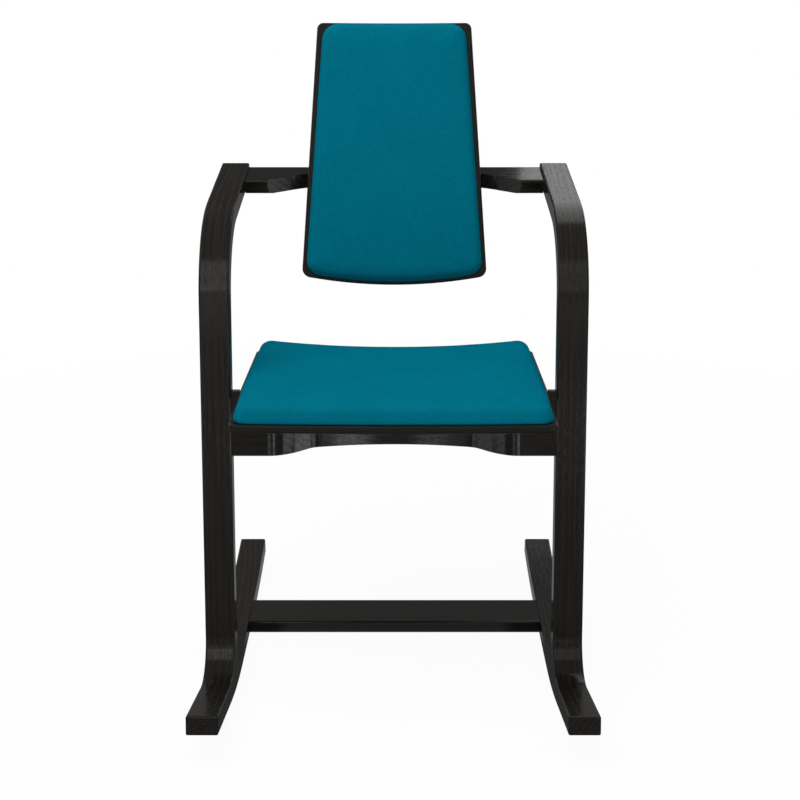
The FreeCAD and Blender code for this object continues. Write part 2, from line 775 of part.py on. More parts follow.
def make_seat_cleat():
    """Wooden block glued behind the crossbar, shaped to it and to the seat shell above."""
    front = seat_frame.inverse().multVec(cleat_front_point()).y
    reach = seat_bar_middle_depth + seat_bar_thickness
    blank = placed(block((-cleat_width / 2, cleat_width / 2), (front - reach, front + cleat_depth),
                         (cleat_bottom_z(), 0)), seat_frame)
    pieces = blank.cut(seat_bar_blank()).cut(seat_room()).Solids
    cleat = max(pieces, key=lambda solid: solid.CenterOfMass.y)
    for place in seat_bolt_places():
        low = vector(place.x, place.y, cleat_bottom_z())
        cleat = cleat.cut(placed(rod(bolt_radius + bolt_hole_clearance, low, place), seat_frame))
    return cleat


def seat_dish_at(place):
    """Depth of the dished shell's top below its rim at a place in the seat's frame."""
    share = place.y / seat_length
    middle = seat_dish_front + (seat_dish_rear - seat_dish_front) * share
    return middle - dish_rise(seat_width / 2, middle, place.x)


def tee_nut(flange_top, sleeve_length):
    """Flanged nut that is pressed into a shell from the sitter's side, along local z."""
    down = vector(0, 0, -1)
    under = flange_top + down * tee_nut_flange_thickness
    flange = rod(tee_nut_flange_radius, under, flange_top)
    sleeve = rod(bolt_radius + thread_clearance + tee_nut_sleeve_wall, under + down * sleeve_length, under)
    bore = rod(bolt_radius + thread_clearance, under + down * (2 * sleeve_length), flange_top - down)
    return flange.fuse(sleeve).cut(bore)


def tee_nut_bore(flange_top, depth):
    """Room for a flanged nut and its bolt in a shell."""
    down = vector(0, 0, -1)
    under = flange_top + down * tee_nut_flange_thickness
    flange = rod(tee_nut_flange_radius + thread_clearance, under, flange_top - down * depth)
    sleeve = rod(bolt_radius + 2 * thread_clearance + tee_nut_sleeve_wall, under + down * depth, under)
    return flange.fuse(sleeve)


def machine_bolt(head_under, length):
    """Round-headed bolt that points along +z from the underside of its head."""
    head = rod(bolt_head_radius, head_under - vector(0, 0, bolt_head_height), head_under)
    return head.fuse(rod(bolt_radius, head_under, head_under + vector(0, 0, length)))


def wood_screw(head_under, way, length):
    """Pan-headed screw that points along a direction from the underside of its head."""
    head = rod(screw_head_radius, head_under - way * screw_head_height, head_under)
    return head.fuse(rod(screw_radius, head_under, head_under + way * length))


def seat_nut_top(place):
    """Top of a seat nut's flange, level with the dished top at the lowest corner around it."""
    edge = vector(max(abs(place.x) - tee_nut_flange_radius, 0), place.y + tee_nut_flange_radius, 0)
    return vector(place.x, place.y, -seat_dish_at(edge))


def seat_sleeve_length():
    """Length of a seat nut's sleeve inside the shell."""
    return seat_shell_thickness - 2 * tee_nut_flange_thickness


def seat_screw_places():
    """Screws that hold the seat pad's board, in the seat's frame."""
    half = seat_width / 2 - pad_screw_edge
    rows = (pad_screw_edge, seat_length - pad_screw_edge)
    return [vector(x, y, 0) for x in (-half, half) for y in rows]


def seat_screw_heads():
    """Undersides of the seat pad's screw heads, on the shell's underside."""
    return [place - vector(0, 0, seat_dish_at(place) + seat_shell_thickness + pad_clearance)
            for place in seat_screw_places()]


def make_seat_shell():
    """Moulded plywood seat, dished more towards the rear."""
    shell = softened(seat_layer(-seat_shell_thickness, 0, seat_outline(0, 0, seat_corner_radius)))
    for place in seat_bolt_places():
        shell = shell.cut(tee_nut_bore(seat_nut_top(place), 2 * seat_shell_thickness))
    up = vector(0, 0, 2 * seat_shell_thickness)
    for head in seat_screw_heads():
        shell = shell.cut(rod(screw_radius + thread_clearance, head - up, head + up))
    return placed(shell, seat_frame)


def make_seat_bolts():
    """Bolts up through the cleat into the seat shell's nuts."""
    solids = []
    for place in seat_bolt_places():
        under = vector(place.x, place.y, cleat_bottom_z())
        length = seat_nut_top(place).z - tee_nut_flange_thickness - under.z
        solids.append(placed(machine_bolt(under, length), seat_frame))
    return in_one_node(solids)


def make_seat_tee_nuts():
    """Flanged nuts in the seat shell."""
    return in_one_node(placed(tee_nut(seat_nut_top(place), seat_sleeve_length()), seat_frame)
                       for place in seat_bolt_places())


def make_seat_pad_screws():
    """Screws up through the seat shell into the pad's board."""
    length = seat_shell_thickness + screw_grip_in_board
    return in_one_node(placed(wood_screw(head, vector(0, 0, 1), length), seat_frame)
                       for head in seat_screw_heads())


def seat_pad_outline(inset):
    """Outline of the seat pad, drawn in further by an inset."""
    return seat_outline(seat_pad_border + inset, seat_pad_front_border + inset, seat_pad_corner_radius)


def make_seat_pad_board():
    """Thin dished board under the seat's upholstery."""
    layer = seat_layer(0, pad_board_thickness, seat_pad_outline(pad_board_inset))
    return placed(drilled_board(layer, seat_screw_heads(), seat_shell_thickness), seat_frame)


def drilled_board(layer, heads, shell_thickness):
    """A pad's board with blind holes for its screws."""
    for head in heads:
        tip = head + vector(0, 0, shell_thickness + screw_grip_in_board + pad_clearance)
        layer = layer.cut(rod(screw_radius + thread_clearance, head, tip))
    return layer


def make_seat_cushion():
    """Upholstered seat pad that follows the dished shell and wraps its board."""
    blank = seat_layer(pad_clearance, seat_pad_height, seat_pad_outline(0), seat_pad_crown)
    pad = upholstered(blank, seat_pad_edge_roll)
    room = seat_layer(-pad_clearance, pad_board_thickness + pad_clearance,
                      seat_pad_outline(pad_board_inset - pad_clearance))
    return placed(pad.cut(room), seat_frame)


def back_surface_z(x):
    """Height of the back shell's front at a distance from the middle, in the backrest's frame."""
    return back_front_z + dish_rise(back_bottom_half_width, back_dish, x)


def leaf_screw_places():
    """Bolts that hold the backrest on the hinge leaf, at the leaf's rear face."""
    return [vector(x, y, hinge_leaf_gap) for x in (-leaf_screw_x, leaf_screw_x)
            for y in (-buffer_reach, buffer_reach)]


def back_nut_top(place):
    """Top of a back nut's flange, level with the shell's front at its lowest point."""
    return vector(place.x, place.y, back_surface_z(max(abs(place.x) - tee_nut_flange_radius, 0)))


def back_screw_places():
    """Screws that hold the back pad's board, in the backrest's frame."""
    low = -back_below_hinge + pad_screw_edge
    high = back_above_hinge - pad_screw_edge
    half_low = back_half_width_at(low, pad_screw_edge)
    half_high = back_half_width_at(high, pad_screw_edge)
    return [vector(side * half, y, 0) for side in SIDES for half, y in ((half_low, low), (half_high, high))]


def back_screw_heads():
    """Undersides of the back pad's screw heads, on the shell's rear."""
    return [vector(place.x, place.y, back_surface_z(place.x) - back_shell_thickness - pad_clearance)
            for place in back_screw_places()]


def make_back_shell():
    """Moulded plywood backrest, slightly curved round the sitter."""
    outline = back_outline(0, 0, 0, back_bottom_corner_radius, back_top_corner_radius)
    shell = softened(back_layer(-back_shell_thickness, 0, outline))
    for place in leaf_screw_places():
        shell = shell.cut(tee_nut_bore(back_nut_top(place), 2 * back_shell_thickness))
    ahead = vector(0, 0, 2 * back_shell_thickness)
    for head in back_screw_heads():
        shell = shell.cut(rod(screw_radius + thread_clearance, head - ahead, head + ahead))
    return placed(shell, back_frame)


def make_back_tee_nuts():
    """Flanged nuts in the back shell."""
    sleeve = back_shell_thickness - 2 * tee_nut_flange_thickness
    return in_one_node(placed(tee_nut(back_nut_top(place), sleeve), back_frame)
                       for place in leaf_screw_places())


def make_back_pad_screws():
    """Screws through the back shell into the pad's board."""
    length = back_shell_thickness + screw_grip_in_board
    return in_one_node(placed(wood_screw(head, vector(0, 0, 1), length), back_frame)
                       for head in back_screw_heads())


def back_pad_outline(inset):
    """Outline of the back pad, drawn in further by an inset."""
    return back_outline(back_pad_border + inset, back_pad_bottom_border + inset, back_pad_top_border + inset,
                        back_pad_corner_radius, back_pad_corner_radius)


def make_back_pad_board():
    """Thin curved board behind the backrest's upholstery."""
    layer = back_layer(0, pad_board_thickness, back_pad_outline(pad_board_inset))
    return placed(drilled_board(layer, back_screw_heads(), back_shell_thickness), back_frame)


def make_back_cushion():
    """Upholstered back pad that follows the shell and wraps its board."""
    blank = back_layer(pad_clearance, back_pad_height, back_pad_outline(0), back_pad_crown)
    pad = upholstered(blank, back_pad_edge_roll)
    room = back_layer(-pad_clearance, pad_board_thickness + pad_clearance,
                      back_pad_outline(pad_board_inset - pad_clearance))
    return placed(pad.cut(room), back_frame)


# Hinge pieces are drawn in the backrest's frame, with the axis along local x
ear_inner_x = hinge_knuckle_half_length + hinge_bush_flange_thickness + hinge_end_play
ear_outer_x = ear_inner_x + hinge_ear_thickness
bush_bore_radius = hinge_pin_radius + hinge_running_clearance
bush_outer_radius = bush_bore_radius + hinge_bush_wall
knuckle_radius = bush_outer_radius + hinge_knuckle_wall


def make_hinge_base():
    """Plate on the bar's land with two ears for the pin."""
    half_width = ear_outer_x + hinge_pin_overhang
    low = -hinge_base_gap - hinge_base_thickness
    plate = block((-half_width, half_width), (-hinge_plate_half_height, hinge_plate_half_height),
                  (low, -hinge_base_gap))
    corners = [vector(x, y, (low - hinge_base_gap) / 2) for x in (-half_width, half_width)
               for y in (-hinge_plate_half_height, hinge_plate_half_height)]
    base = plate.makeFillet(hinge_ear_radius, edges_through(plate, corners))
    for side in SIDES:
        near, far = sorted((side * ear_inner_x, side * ear_outer_x))
        stem = block((near, far), (-hinge_ear_radius, hinge_ear_radius), (low, 0))
        base = base.fuse([stem, rod(hinge_ear_radius, vector(near, 0, 0), vector(far, 0, 0))])
    base = base.removeSplitter()
    base = base.cut(rod(hinge_pin_radius, vector(-half_width, 0, 0), vector(half_width, 0, 0)))
    for place in base_screw_places():
        base = base.cut([countersink(place), rod(screw_radius + thread_clearance, place,
                                                 place - vector(0, 0, 2 * hinge_base_thickness))])
    return placed(base, back_frame)


def countersink(place):
    """Cone that a flat screw head fills, narrowing along -z from a plate's face."""
    depth = screw_head_height
    return Part.makeCone(screw_head_radius, screw_radius, depth, place, vector(0, 0, -1))


def make_hinge_base_screws():
    """Flat-headed screws through the hinge base into the bar."""
    solids = []
    for place in base_screw_places():
        neck = place - vector(0, 0, screw_head_height)
        shank = rod(screw_radius, neck, place - vector(0, 0, base_screw_length))
        solids.append(placed(countersink(place).fuse(shank), back_frame))
    return in_one_node(solids)


def make_hinge_leaf():
    """Plate on the back shell with the knuckle that turns on the pin."""
    half = hinge_knuckle_half_length
    plate = block((-half, half), (-hinge_plate_half_height, hinge_plate_half_height),
                  (hinge_leaf_gap, hinge_leaf_gap + hinge_leaf_thickness))
    corners = [vector(x, y, hinge_leaf_gap + hinge_leaf_thickness / 2) for x in (-half, half)
               for y in (-hinge_plate_half_height, hinge_plate_half_height)]
    plate = plate.makeFillet(hinge_ear_radius, edges_through(plate, corners))
    web = block((-half, half), (-bush_outer_radius, bush_outer_radius), (0, hinge_leaf_gap))
    tube = rod(knuckle_radius, vector(-half, 0, 0), vector(half, 0, 0))
    leaf = plate.fuse([web, tube]).removeSplitter()
    leaf = leaf.cut(rod(bush_outer_radius, vector(-half, 0, 0), vector(half, 0, 0)))
    for place in leaf_screw_places():
        ahead = vector(0, 0, 2 * hinge_leaf_thickness)
        leaf = leaf.cut(rod(bolt_radius + bolt_hole_clearance, place - ahead, place + ahead))
    return placed(leaf, back_frame)


def make_hinge_bushes():
    """Flanged plastic bushes in both ends of the knuckle."""
    solids = []
    for side in SIDES:
        mouth = vector(side * hinge_knuckle_half_length, 0, 0)
        outward = vector(side, 0, 0)
        sleeve = rod(bush_outer_radius, mouth - outward * hinge_bush_length, mouth)
        flange = rod(hinge_bush_flange_radius, mouth, mouth + outward * hinge_bush_flange_thickness)
        bore = rod(bush_bore_radius, vector(-ear_inner_x, 0, 0), vector(ear_inner_x, 0, 0))
        solids.append(placed(sleeve.fuse(flange).cut(bore), back_frame))
    return in_one_node(solids)


def make_hinge_pin():
    """Headed pin through the ears and the bushes."""
    tip = vector(-ear_outer_x - hinge_pin_overhang, 0, 0)
    seat = vector(ear_outer_x, 0, 0)
    pin = rod(hinge_pin_radius, tip, seat)
    head = rod(hinge_pin_head_radius, seat, seat + vector(hinge_pin_overhang, 0, 0))
    return placed(pin.fuse(head), back_frame)


def make_hinge_clip():
    """Ring that keeps the pin in place at its plain end."""
    face = vector(-ear_outer_x, 0, 0)
    outer = face - vector(hinge_pin_overhang / 2, 0, 0)
    ring = rod(hinge_pin_head_radius, outer, face)
    return placed(ring.cut(rod(hinge_pin_radius, outer, face)), back_frame)


def make_hinge_buffers():
    """Rubber buffers on the hinge base, above and below the axis."""
    solids = []
    for side in SIDES:
        for end in SIDES:
            foot = vector(side * buffer_x, end * buffer_reach, -hinge_base_gap)
            cone = Part.makeCone(buffer_radius, buffer_radius - hinge_base_thickness / 2, buffer_height, foot,
                                 vector(0, 0, 1))
            solids.append(placed(cone, back_frame))
    return in_one_node(solids)


def make_hinge_leaf_screws():
    """Bolts through the hinge leaf into the back shell's nuts."""
    solids = []
    for place in leaf_screw_places():
        length = back_nut_top(place).z - tee_nut_flange_thickness - place.z
        solids.append(placed(machine_bolt(place, length), back_frame))
    return in_one_node(solids)


def make_side_strips():
    """The four bent strips of the side frames."""
    strip, runner = make_left_frame()
    strip = back_bar_joint.bore_left_strip(seat_bar_joint.bore_left_strip(strip))
    runner = stretcher_joint.bore_left_strip(runner)
    return {"arm_leg_left": strip, "arm_leg_right": mirrored(strip),
            "runner_left": runner, "runner_right": mirrored(runner)}


def make_frame_fasteners():
    """Connector bolts and barrel nuts of the three crossbars."""
    joints = (back_bar_joint, seat_bar_joint, stretcher_joint)
    return {"frame_bolts": in_one_node(bolt for joint in joints for bolt in joint.bolts()),
            "frame_barrel_nuts": in_one_node(nut for joint in joints for nut in joint.barrels())}


def make_chair():
    """Every node of the chair by name."""
    nodes = make_side_strips()
    nodes.update(make_frame_fasteners())
    nodes["stretcher"] = make_stretcher()
    nodes["back_bar"] = make_back_bar()
    nodes["seat_bar"] = make_seat_bar()
    nodes["seat_cleat"] = make_seat_cleat()
    nodes["seat_shell"] = make_seat_shell()
    nodes["seat_bolts"] = make_seat_bolts()
    nodes["seat_tee_nuts"] = make_seat_tee_nuts()
    nodes["seat_pad_board"] = make_seat_pad_board()
    nodes["seat_pad_screws"] = make_seat_pad_screws()
    nodes["seat_cushion"] = make_seat_cushion()
    nodes["hinge_base"] = make_hinge_base()
    nodes["hinge_base_screws"] = make_hinge_base_screws()
    nodes["hinge_pin"] = make_hinge_pin()
    nodes["hinge_clip"] = make_hinge_clip()
    nodes["hinge_bushes"] = make_hinge_bushes()
    nodes["hinge_buffers"] = make_hinge_buffers()
    nodes["hinge_leaf"] = make_hinge_leaf()
    nodes["hinge_leaf_screws"] = make_hinge_leaf_screws()
    nodes["back_shell"] = make_back_shell()
    nodes["back_tee_nuts"] = make_back_tee_nuts()
    nodes["back_pad_board"] = make_back_pad_board()
    nodes["back_pad_screws"] = make_back_pad_screws()
    nodes["back_cushion"] = make_back_cushion()
    return nodes


def main():
    """Write one STEP file per node."""
    os.makedirs("parts", exist_ok=True)
    for name, shape in make_chair().items():
        shape.exportStep("parts/" + name + ".step")


main()
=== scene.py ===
"""Looks of an ergonomic rocking chair: black ash frame, moulded shells and two teal pads."""

from __future__ import annotations

import logging
import math
from dataclasses import dataclass, replace
from enum import Enum

import bpy
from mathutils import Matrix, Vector


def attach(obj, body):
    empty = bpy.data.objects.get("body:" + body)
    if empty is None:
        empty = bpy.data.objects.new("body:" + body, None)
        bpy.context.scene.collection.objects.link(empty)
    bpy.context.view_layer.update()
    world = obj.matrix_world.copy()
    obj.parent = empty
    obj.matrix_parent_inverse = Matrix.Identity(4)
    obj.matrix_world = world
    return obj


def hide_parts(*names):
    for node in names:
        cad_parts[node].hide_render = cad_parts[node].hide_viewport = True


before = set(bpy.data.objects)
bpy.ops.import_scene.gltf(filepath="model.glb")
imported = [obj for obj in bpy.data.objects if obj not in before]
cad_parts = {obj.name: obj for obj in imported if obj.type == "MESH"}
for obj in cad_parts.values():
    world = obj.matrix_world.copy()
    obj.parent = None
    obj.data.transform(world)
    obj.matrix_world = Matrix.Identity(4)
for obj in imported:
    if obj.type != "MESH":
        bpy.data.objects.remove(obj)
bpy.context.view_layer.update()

MILLIMETRE = 0.001
TURN = 2 * math.pi
MIDDLE = 0.5

Colour = tuple[float, float, float, float]
Place = tuple[float, float, float]
Grain = tuple[float, float, float]
SidePoint = tuple[float, float]

BLACK: Colour = (0.0, 0.0, 0.0, 1.0)
WHITE: Colour = (1.0, 1.0, 1.0, 1.0)

log = logging.getLogger("rocking_chair")


# Shader maths


class Signal:
    """A socket of a node tree that takes part in Python expressions."""

    def __init__(self, sheet: NodeSheet, socket: bpy.types.NodeSocket) -> None:
        """Keep the tree and the socket."""
        self.sheet = sheet
        self.socket = socket

    def __add__(self, other: Signal | float) -> Signal:
        """Sum with a number."""
        return self.sheet.math("ADD", self, other)

    def __radd__(self, other: float) -> Signal:
        """Sum with a number on the left."""
        return self.sheet.math("ADD", other, self)

    def __sub__(self, other: Signal | float) -> Signal:
        """Difference from a number."""
        return self.sheet.math("SUBTRACT", self, other)

    def __rsub__(self, other: float) -> Signal:
        """Difference of a number on the left."""
        return self.sheet.math("SUBTRACT", other, self)

    def __mul__(self, other: Signal | float) -> Signal:
        """Product with a number."""
        return self.sheet.math("MULTIPLY", self, other)

    def __rmul__(self, other: float) -> Signal:
        """Product with a number on the left."""
        return self.sheet.math("MULTIPLY", other, self)

    def __truediv__(self, other: Signal | float) -> Signal:
        """Quotient by a number."""
        return self.sheet.math("DIVIDE", self, other)

    def __rtruediv__(self, other: float) -> Signal:
        """Quotient of a number on the left."""
        return self.sheet.math("DIVIDE", other, self)

    def __neg__(self) -> Signal:
        """The number with its sign turned."""
        return self.sheet.math("MULTIPLY", self, -1.0)

    def __lt__(self, other: Signal | float) -> Signal:
        """One where the number is below the other, zero elsewhere."""
        return self.sheet.math("LESS_THAN", self, other)

    def sine(self) -> Signal:
        """Sine of an angle in radians."""
        return self.sheet.math("SINE", self)

    def cosine(self) -> Signal:
        """Cosine of an angle in radians."""
        return self.sheet.math("COSINE", self)

    def angle_over(self, other: Signal) -> Signal:
        """Angle whose sine side is this number and whose cosine side is the other."""
        return self.sheet.math("ARCTAN2", self, other)

    def between(self, low: float, high: float) -> Signal:
        """The number held inside two limits."""
        return self.sheet.math("MINIMUM", self.sheet.math("MAXIMUM", self, low), high)

    def ease(self, low: float, high: float) -> Signal:
        """Smooth step from 0 at low to 1 at high.

        Args:
            low: value where the step starts.
            high: value where the step ends.

        Returns:
            The eased number.
        """
        step = self.sheet.add(
            "ShaderNodeMapRange",
            {"interpolation_type": "SMOOTHSTEP"},
            {"Value": self, "From Min": low, "From Max": high},
        )
        return Signal(self.sheet, step.outputs["Result"])

    def toward(self, other: Signal, share: Signal) -> Signal:
        """This number where share is 0, the other where it is 1."""
        return self + (other - self) * share


Point = tuple[Signal, Signal, Signal]


class NodeSheet:
    """The node tree of one material or world, with one way to add a node."""

    MIX_FACTOR = 0
    MIX_FIRST_COLOUR = 6
    MIX_SECOND_COLOUR = 7
    MIX_COLOUR_OUT = 2

    def __init__(self, owner: bpy.types.ID) -> None:
        """Start an empty tree.

        Args:
            owner: the material or world that the tree belongs to.
        """
        owner.use_nodes = True
        self.owner = owner
        self.tree = owner.node_tree
        self.tree.nodes.clear()

    @classmethod
    def for_material(cls, name: str) -> NodeSheet:
        """Sheet of a new material with that name."""
        return cls(bpy.data.materials.new(name))

    def add(self, kind: str, settings: dict | None = None, inputs: dict | None = None) -> bpy.types.Node:
        """Add a node.

        Args:
            kind: the node's type.
            settings: attributes that are set first.
            inputs: values or signals by socket name or number.

        Returns:
            The new node.
        """
        node = self.tree.nodes.new(kind)
        for name, value in (settings or {}).items():
            setattr(node, name, value)
        for key, value in (inputs or {}).items():
            if isinstance(value, Signal):
                self.tree.links.new(value.socket, node.inputs[key])
            else:
                node.inputs[key].default_value = value
        return node

    def math(self, operation: str, *operands: Signal | float) -> Signal:
        """Result of a Math node on one or two numbers."""
        node = self.add("ShaderNodeMath", {"operation": operation}, dict(enumerate(operands)))
        return Signal(self, node.outputs[0])

    def place(self) -> Point:
        """Coordinates on the object, in metres.

        Returns:
            The x, y and z signals.
        """
        coordinates = Signal(self, self.add("ShaderNodeTexCoord").outputs["Object"])
        parts = self.add("ShaderNodeSeparateXYZ", None, {"Vector": coordinates})
        x, y, z = (Signal(self, output) for output in parts.outputs)
        return x, y, z

    def noise(self, point: Point, grain: Grain, detail: float = 2.0) -> Signal:
        """Noise from 0 to 1.

        Args:
            point: the three coordinates, in metres.
            grain: length of the noise's grains along each of them, in metres.
            detail: number of finer layers.

        Returns:
            The noise.
        """
        steps = [way / length for way, length in zip(point, grain)]
        vector = self.add("ShaderNodeCombineXYZ", None, dict(enumerate(steps)))
        inputs = {"Vector": Signal(self, vector.outputs[0]), "Scale": 1.0, "Detail": detail}
        return Signal(self, self.add("ShaderNodeTexNoise", None, inputs).outputs["Fac"])

    def colours(self, share: Signal, first: Colour | Signal, second: Colour | Signal) -> Signal:
        """Mix of two colours.

        Args:
            share: share of the second colour.
            first: colour where the share is 0.
            second: colour where the share is 1.

        Returns:
            The mixed colour.
        """
        inputs = {self.MIX_FACTOR: share, self.MIX_FIRST_COLOUR: first, self.MIX_SECOND_COLOUR: second}
        node = self.add("ShaderNodeMix", {"data_type": "RGBA"}, inputs)
        return Signal(self, node.outputs[self.MIX_COLOUR_OUT])

    def relief(self, height: Signal, strength: float, distance: float) -> Signal:
        """Normal of a surface with that relief.

        Args:
            height: relief from 0 to 1.
            strength: how much of it shows.
            distance: its depth in metres.

        Returns:
            The normal.
        """
        inputs = {"Height": height, "Strength": strength, "Distance": distance}
        return Signal(self, self.add("ShaderNodeBump", None, inputs).outputs["Normal"])

    def surface(self, inputs: dict) -> bpy.types.Material:
        """Close the tree with one surface shader.

        Args:
            inputs: values or signals of the shader's sockets.

        Returns:
            The finished material.
        """
        shader = self.add("ShaderNodeBsdfPrincipled", None, inputs)
        self.add("ShaderNodeOutputMaterial", None, {"Surface": Signal(self, shader.outputs["BSDF"])})
        return self.owner


# Places on the pieces


@dataclass(frozen=True)
class PieceFrame:
    """A frame of its own for a piece that is tipped about the chair's width.

    Local x runs across, y along the piece and z towards the sitter.
    """

    origin: SidePoint
    tip: float

    def _turned(self, back: float | Signal, up: float | Signal) -> tuple[float | Signal, float | Signal]:
        """Distances along the piece and out of it, from those back and up from its origin."""
        cosine, sine = math.cos(self.tip), math.sin(self.tip)
        return back * cosine + up * sine, up * cosine - back * sine

    def signals(self, sheet: NodeSheet) -> Point:
        """Coordinates of the shaded point in this frame.

        Args:
            sheet: the material's node tree.

        Returns:
            The local x, y and z.
        """
        x, y, z = sheet.place()
        return x, *self._turned(y - self.origin[0], z - self.origin[1])

    def local(self, point: Vector) -> Vector:
        """A point of the chair, in this frame."""
        return Vector((point.x, *self._turned(point.y - self.origin[0], point.z - self.origin[1])))

    def in_chair(self, point: Vector) -> Vector:
        """A point of this frame, in the chair.

        Args:
            point: its local x, y and z.

        Returns:
            The point in the chair.
        """
        cosine, sine = math.cos(self.tip), math.sin(self.tip)
        back = self.origin[0] + point.y * cosine - point.z * sine
        up = self.origin[1] + point.y * sine + point.z * cosine
        return Vector((point.x, back, up))


SEAT_FRAME = PieceFrame(origin=(-0.221, 0.455), tip=math.radians(-1.85))
BACK_FRAME = PieceFrame(origin=(0.24708, 0.7108), tip=math.radians(75.1))


@dataclass(frozen=True)
class Bend:
    """One bend of a strip in the side view: its centre, radius and the angles where it starts and ends."""

    centre: SidePoint
    radius: float
    start: float
    end: float

    def follow(self, y: Signal, z: Signal) -> tuple[Signal, Signal]:
        """Distance along the strip from the bend's start, and radius at the shaded point.

        Args:
            y: depth of the point in the chair.
            z: height of the point.

        Returns:
            The distance along and the radius, both measured straight past the ends of the bend.
        """
        middle = (self.start + self.end) / 2
        half = abs(self.end - self.start) / 2
        back = y - self.centre[0]
        up = z - self.centre[1]
        outward = back * math.cos(middle) + up * math.sin(middle)
        sideways = up * math.cos(middle) - back * math.sin(middle)
        angle = sideways.angle_over(outward).between(-half, half) + middle
        cosine, sine = angle.cosine(), angle.sine()
        along = (self.start - angle) * self.radius + back * sine - up * cosine
        return along, back * cosine + up * sine


@dataclass(frozen=True)
class SideStrip:
    """Line of the bent side strip in the side view: armrest, leg and foot."""

    heel: SidePoint = (-0.136, 0.030)
    arm_end: SidePoint = (0.283, 0.7333)
    leg_lean: float = math.radians(9.9)
    arm_slope: float = math.radians(9.0)
    foot_rise: float = math.radians(13.5)
    arm_bend_radius: float = 0.150
    heel_bend_radius: float = 0.055
    change_height: float = 0.35

    def _fillet_centre(self, corner: Vector, first: float, second: float, radius: float) -> Vector:
        """Centre of the round between two lines.

        Args:
            corner: point where the lines meet.
            first: angle at which the first line's normal points to the centre.
            second: that angle of the second line.
            radius: radius of the round.

        Returns:
            The centre.
        """
        one = Vector((math.cos(first), math.sin(first)))
        two = Vector((math.cos(second), math.sin(second)))
        return corner + (one + two) * (radius / (1 + one.dot(two)))

    def _arm_corner(self) -> Vector:
        """Find where the lines of the leg and the armrest meet.

        Returns:
            The point in the side view.
        """
        heel, end = Vector(self.heel), Vector(self.arm_end)
        leg = Vector((math.sin(self.leg_lean), math.cos(self.leg_lean)))
        normal = Vector((-math.sin(self.arm_slope), math.cos(self.arm_slope)))
        return heel + leg * ((end - heel).dot(normal) / leg.dot(normal))

    def signals(self, sheet: NodeSheet) -> Point:
        """Coordinates of the shaded point in the strip.

        Args:
            sheet: the material's node tree.

        Returns:
            The distance along the strip, the distance across it and the depth under its front face.
        """
        x, y, z = sheet.place()
        leg_out = math.pi - self.leg_lean
        arm_out = math.pi / 2 + self.arm_slope
        foot_out = -math.pi / 2 - self.foot_rise
        arm_centre = self._fillet_centre(
            self._arm_corner(), leg_out - math.pi, arm_out - math.pi, self.arm_bend_radius)
        heel_centre = self._fillet_centre(
            Vector(self.heel), leg_out, foot_out + math.pi, self.heel_bend_radius)
        arm_bend = Bend(tuple(arm_centre), self.arm_bend_radius, leg_out, arm_out)
        heel_bend = Bend(tuple(heel_centre), self.heel_bend_radius, leg_out - math.pi, foot_out)
        arm_along, arm_radius = arm_bend.follow(y, z)
        heel_along, heel_radius = heel_bend.follow(y, z)
        leg = Vector((math.sin(self.leg_lean), math.cos(self.leg_lean)))
        from_arm_bend = (heel_centre - arm_centre).dot(leg)
        low = z < self.change_height
        along = arm_along.toward(from_arm_bend - heel_along, low)
        depth = (self.arm_bend_radius - arm_radius).toward(heel_radius - self.heel_bend_radius, low)
        return along, x, depth


class GrainRun(Enum):
    """Way that the grain of a wooden piece runs."""

    ACROSS_CHAIR = "across the chair"
    FRONT_TO_BACK = "front to back"
    ALONG_STRIP = "along the bent strip"

    def signals(self, sheet: NodeSheet) -> Point:
        """Coordinates of the shaded point in the grain.

        Args:
            sheet: the material's node tree.

        Returns:
            The distances along the grain, across it and into it.
        """
        if self is GrainRun.ALONG_STRIP:
            return SideStrip().signals(sheet)
        x, y, z = sheet.place()
        return (x, y, z) if self is GrainRun.ACROSS_CHAIR else (y, x, z)


# Finishes


def blend(shares: tuple[float, ...], *signals: Signal) -> Signal:
    """Sum of signals, each times its share."""
    return sum(signal * share for signal, share in zip(signals, shares))


def even(size: float) -> Grain:
    """Grain of the same size all ways."""
    return size, size, size


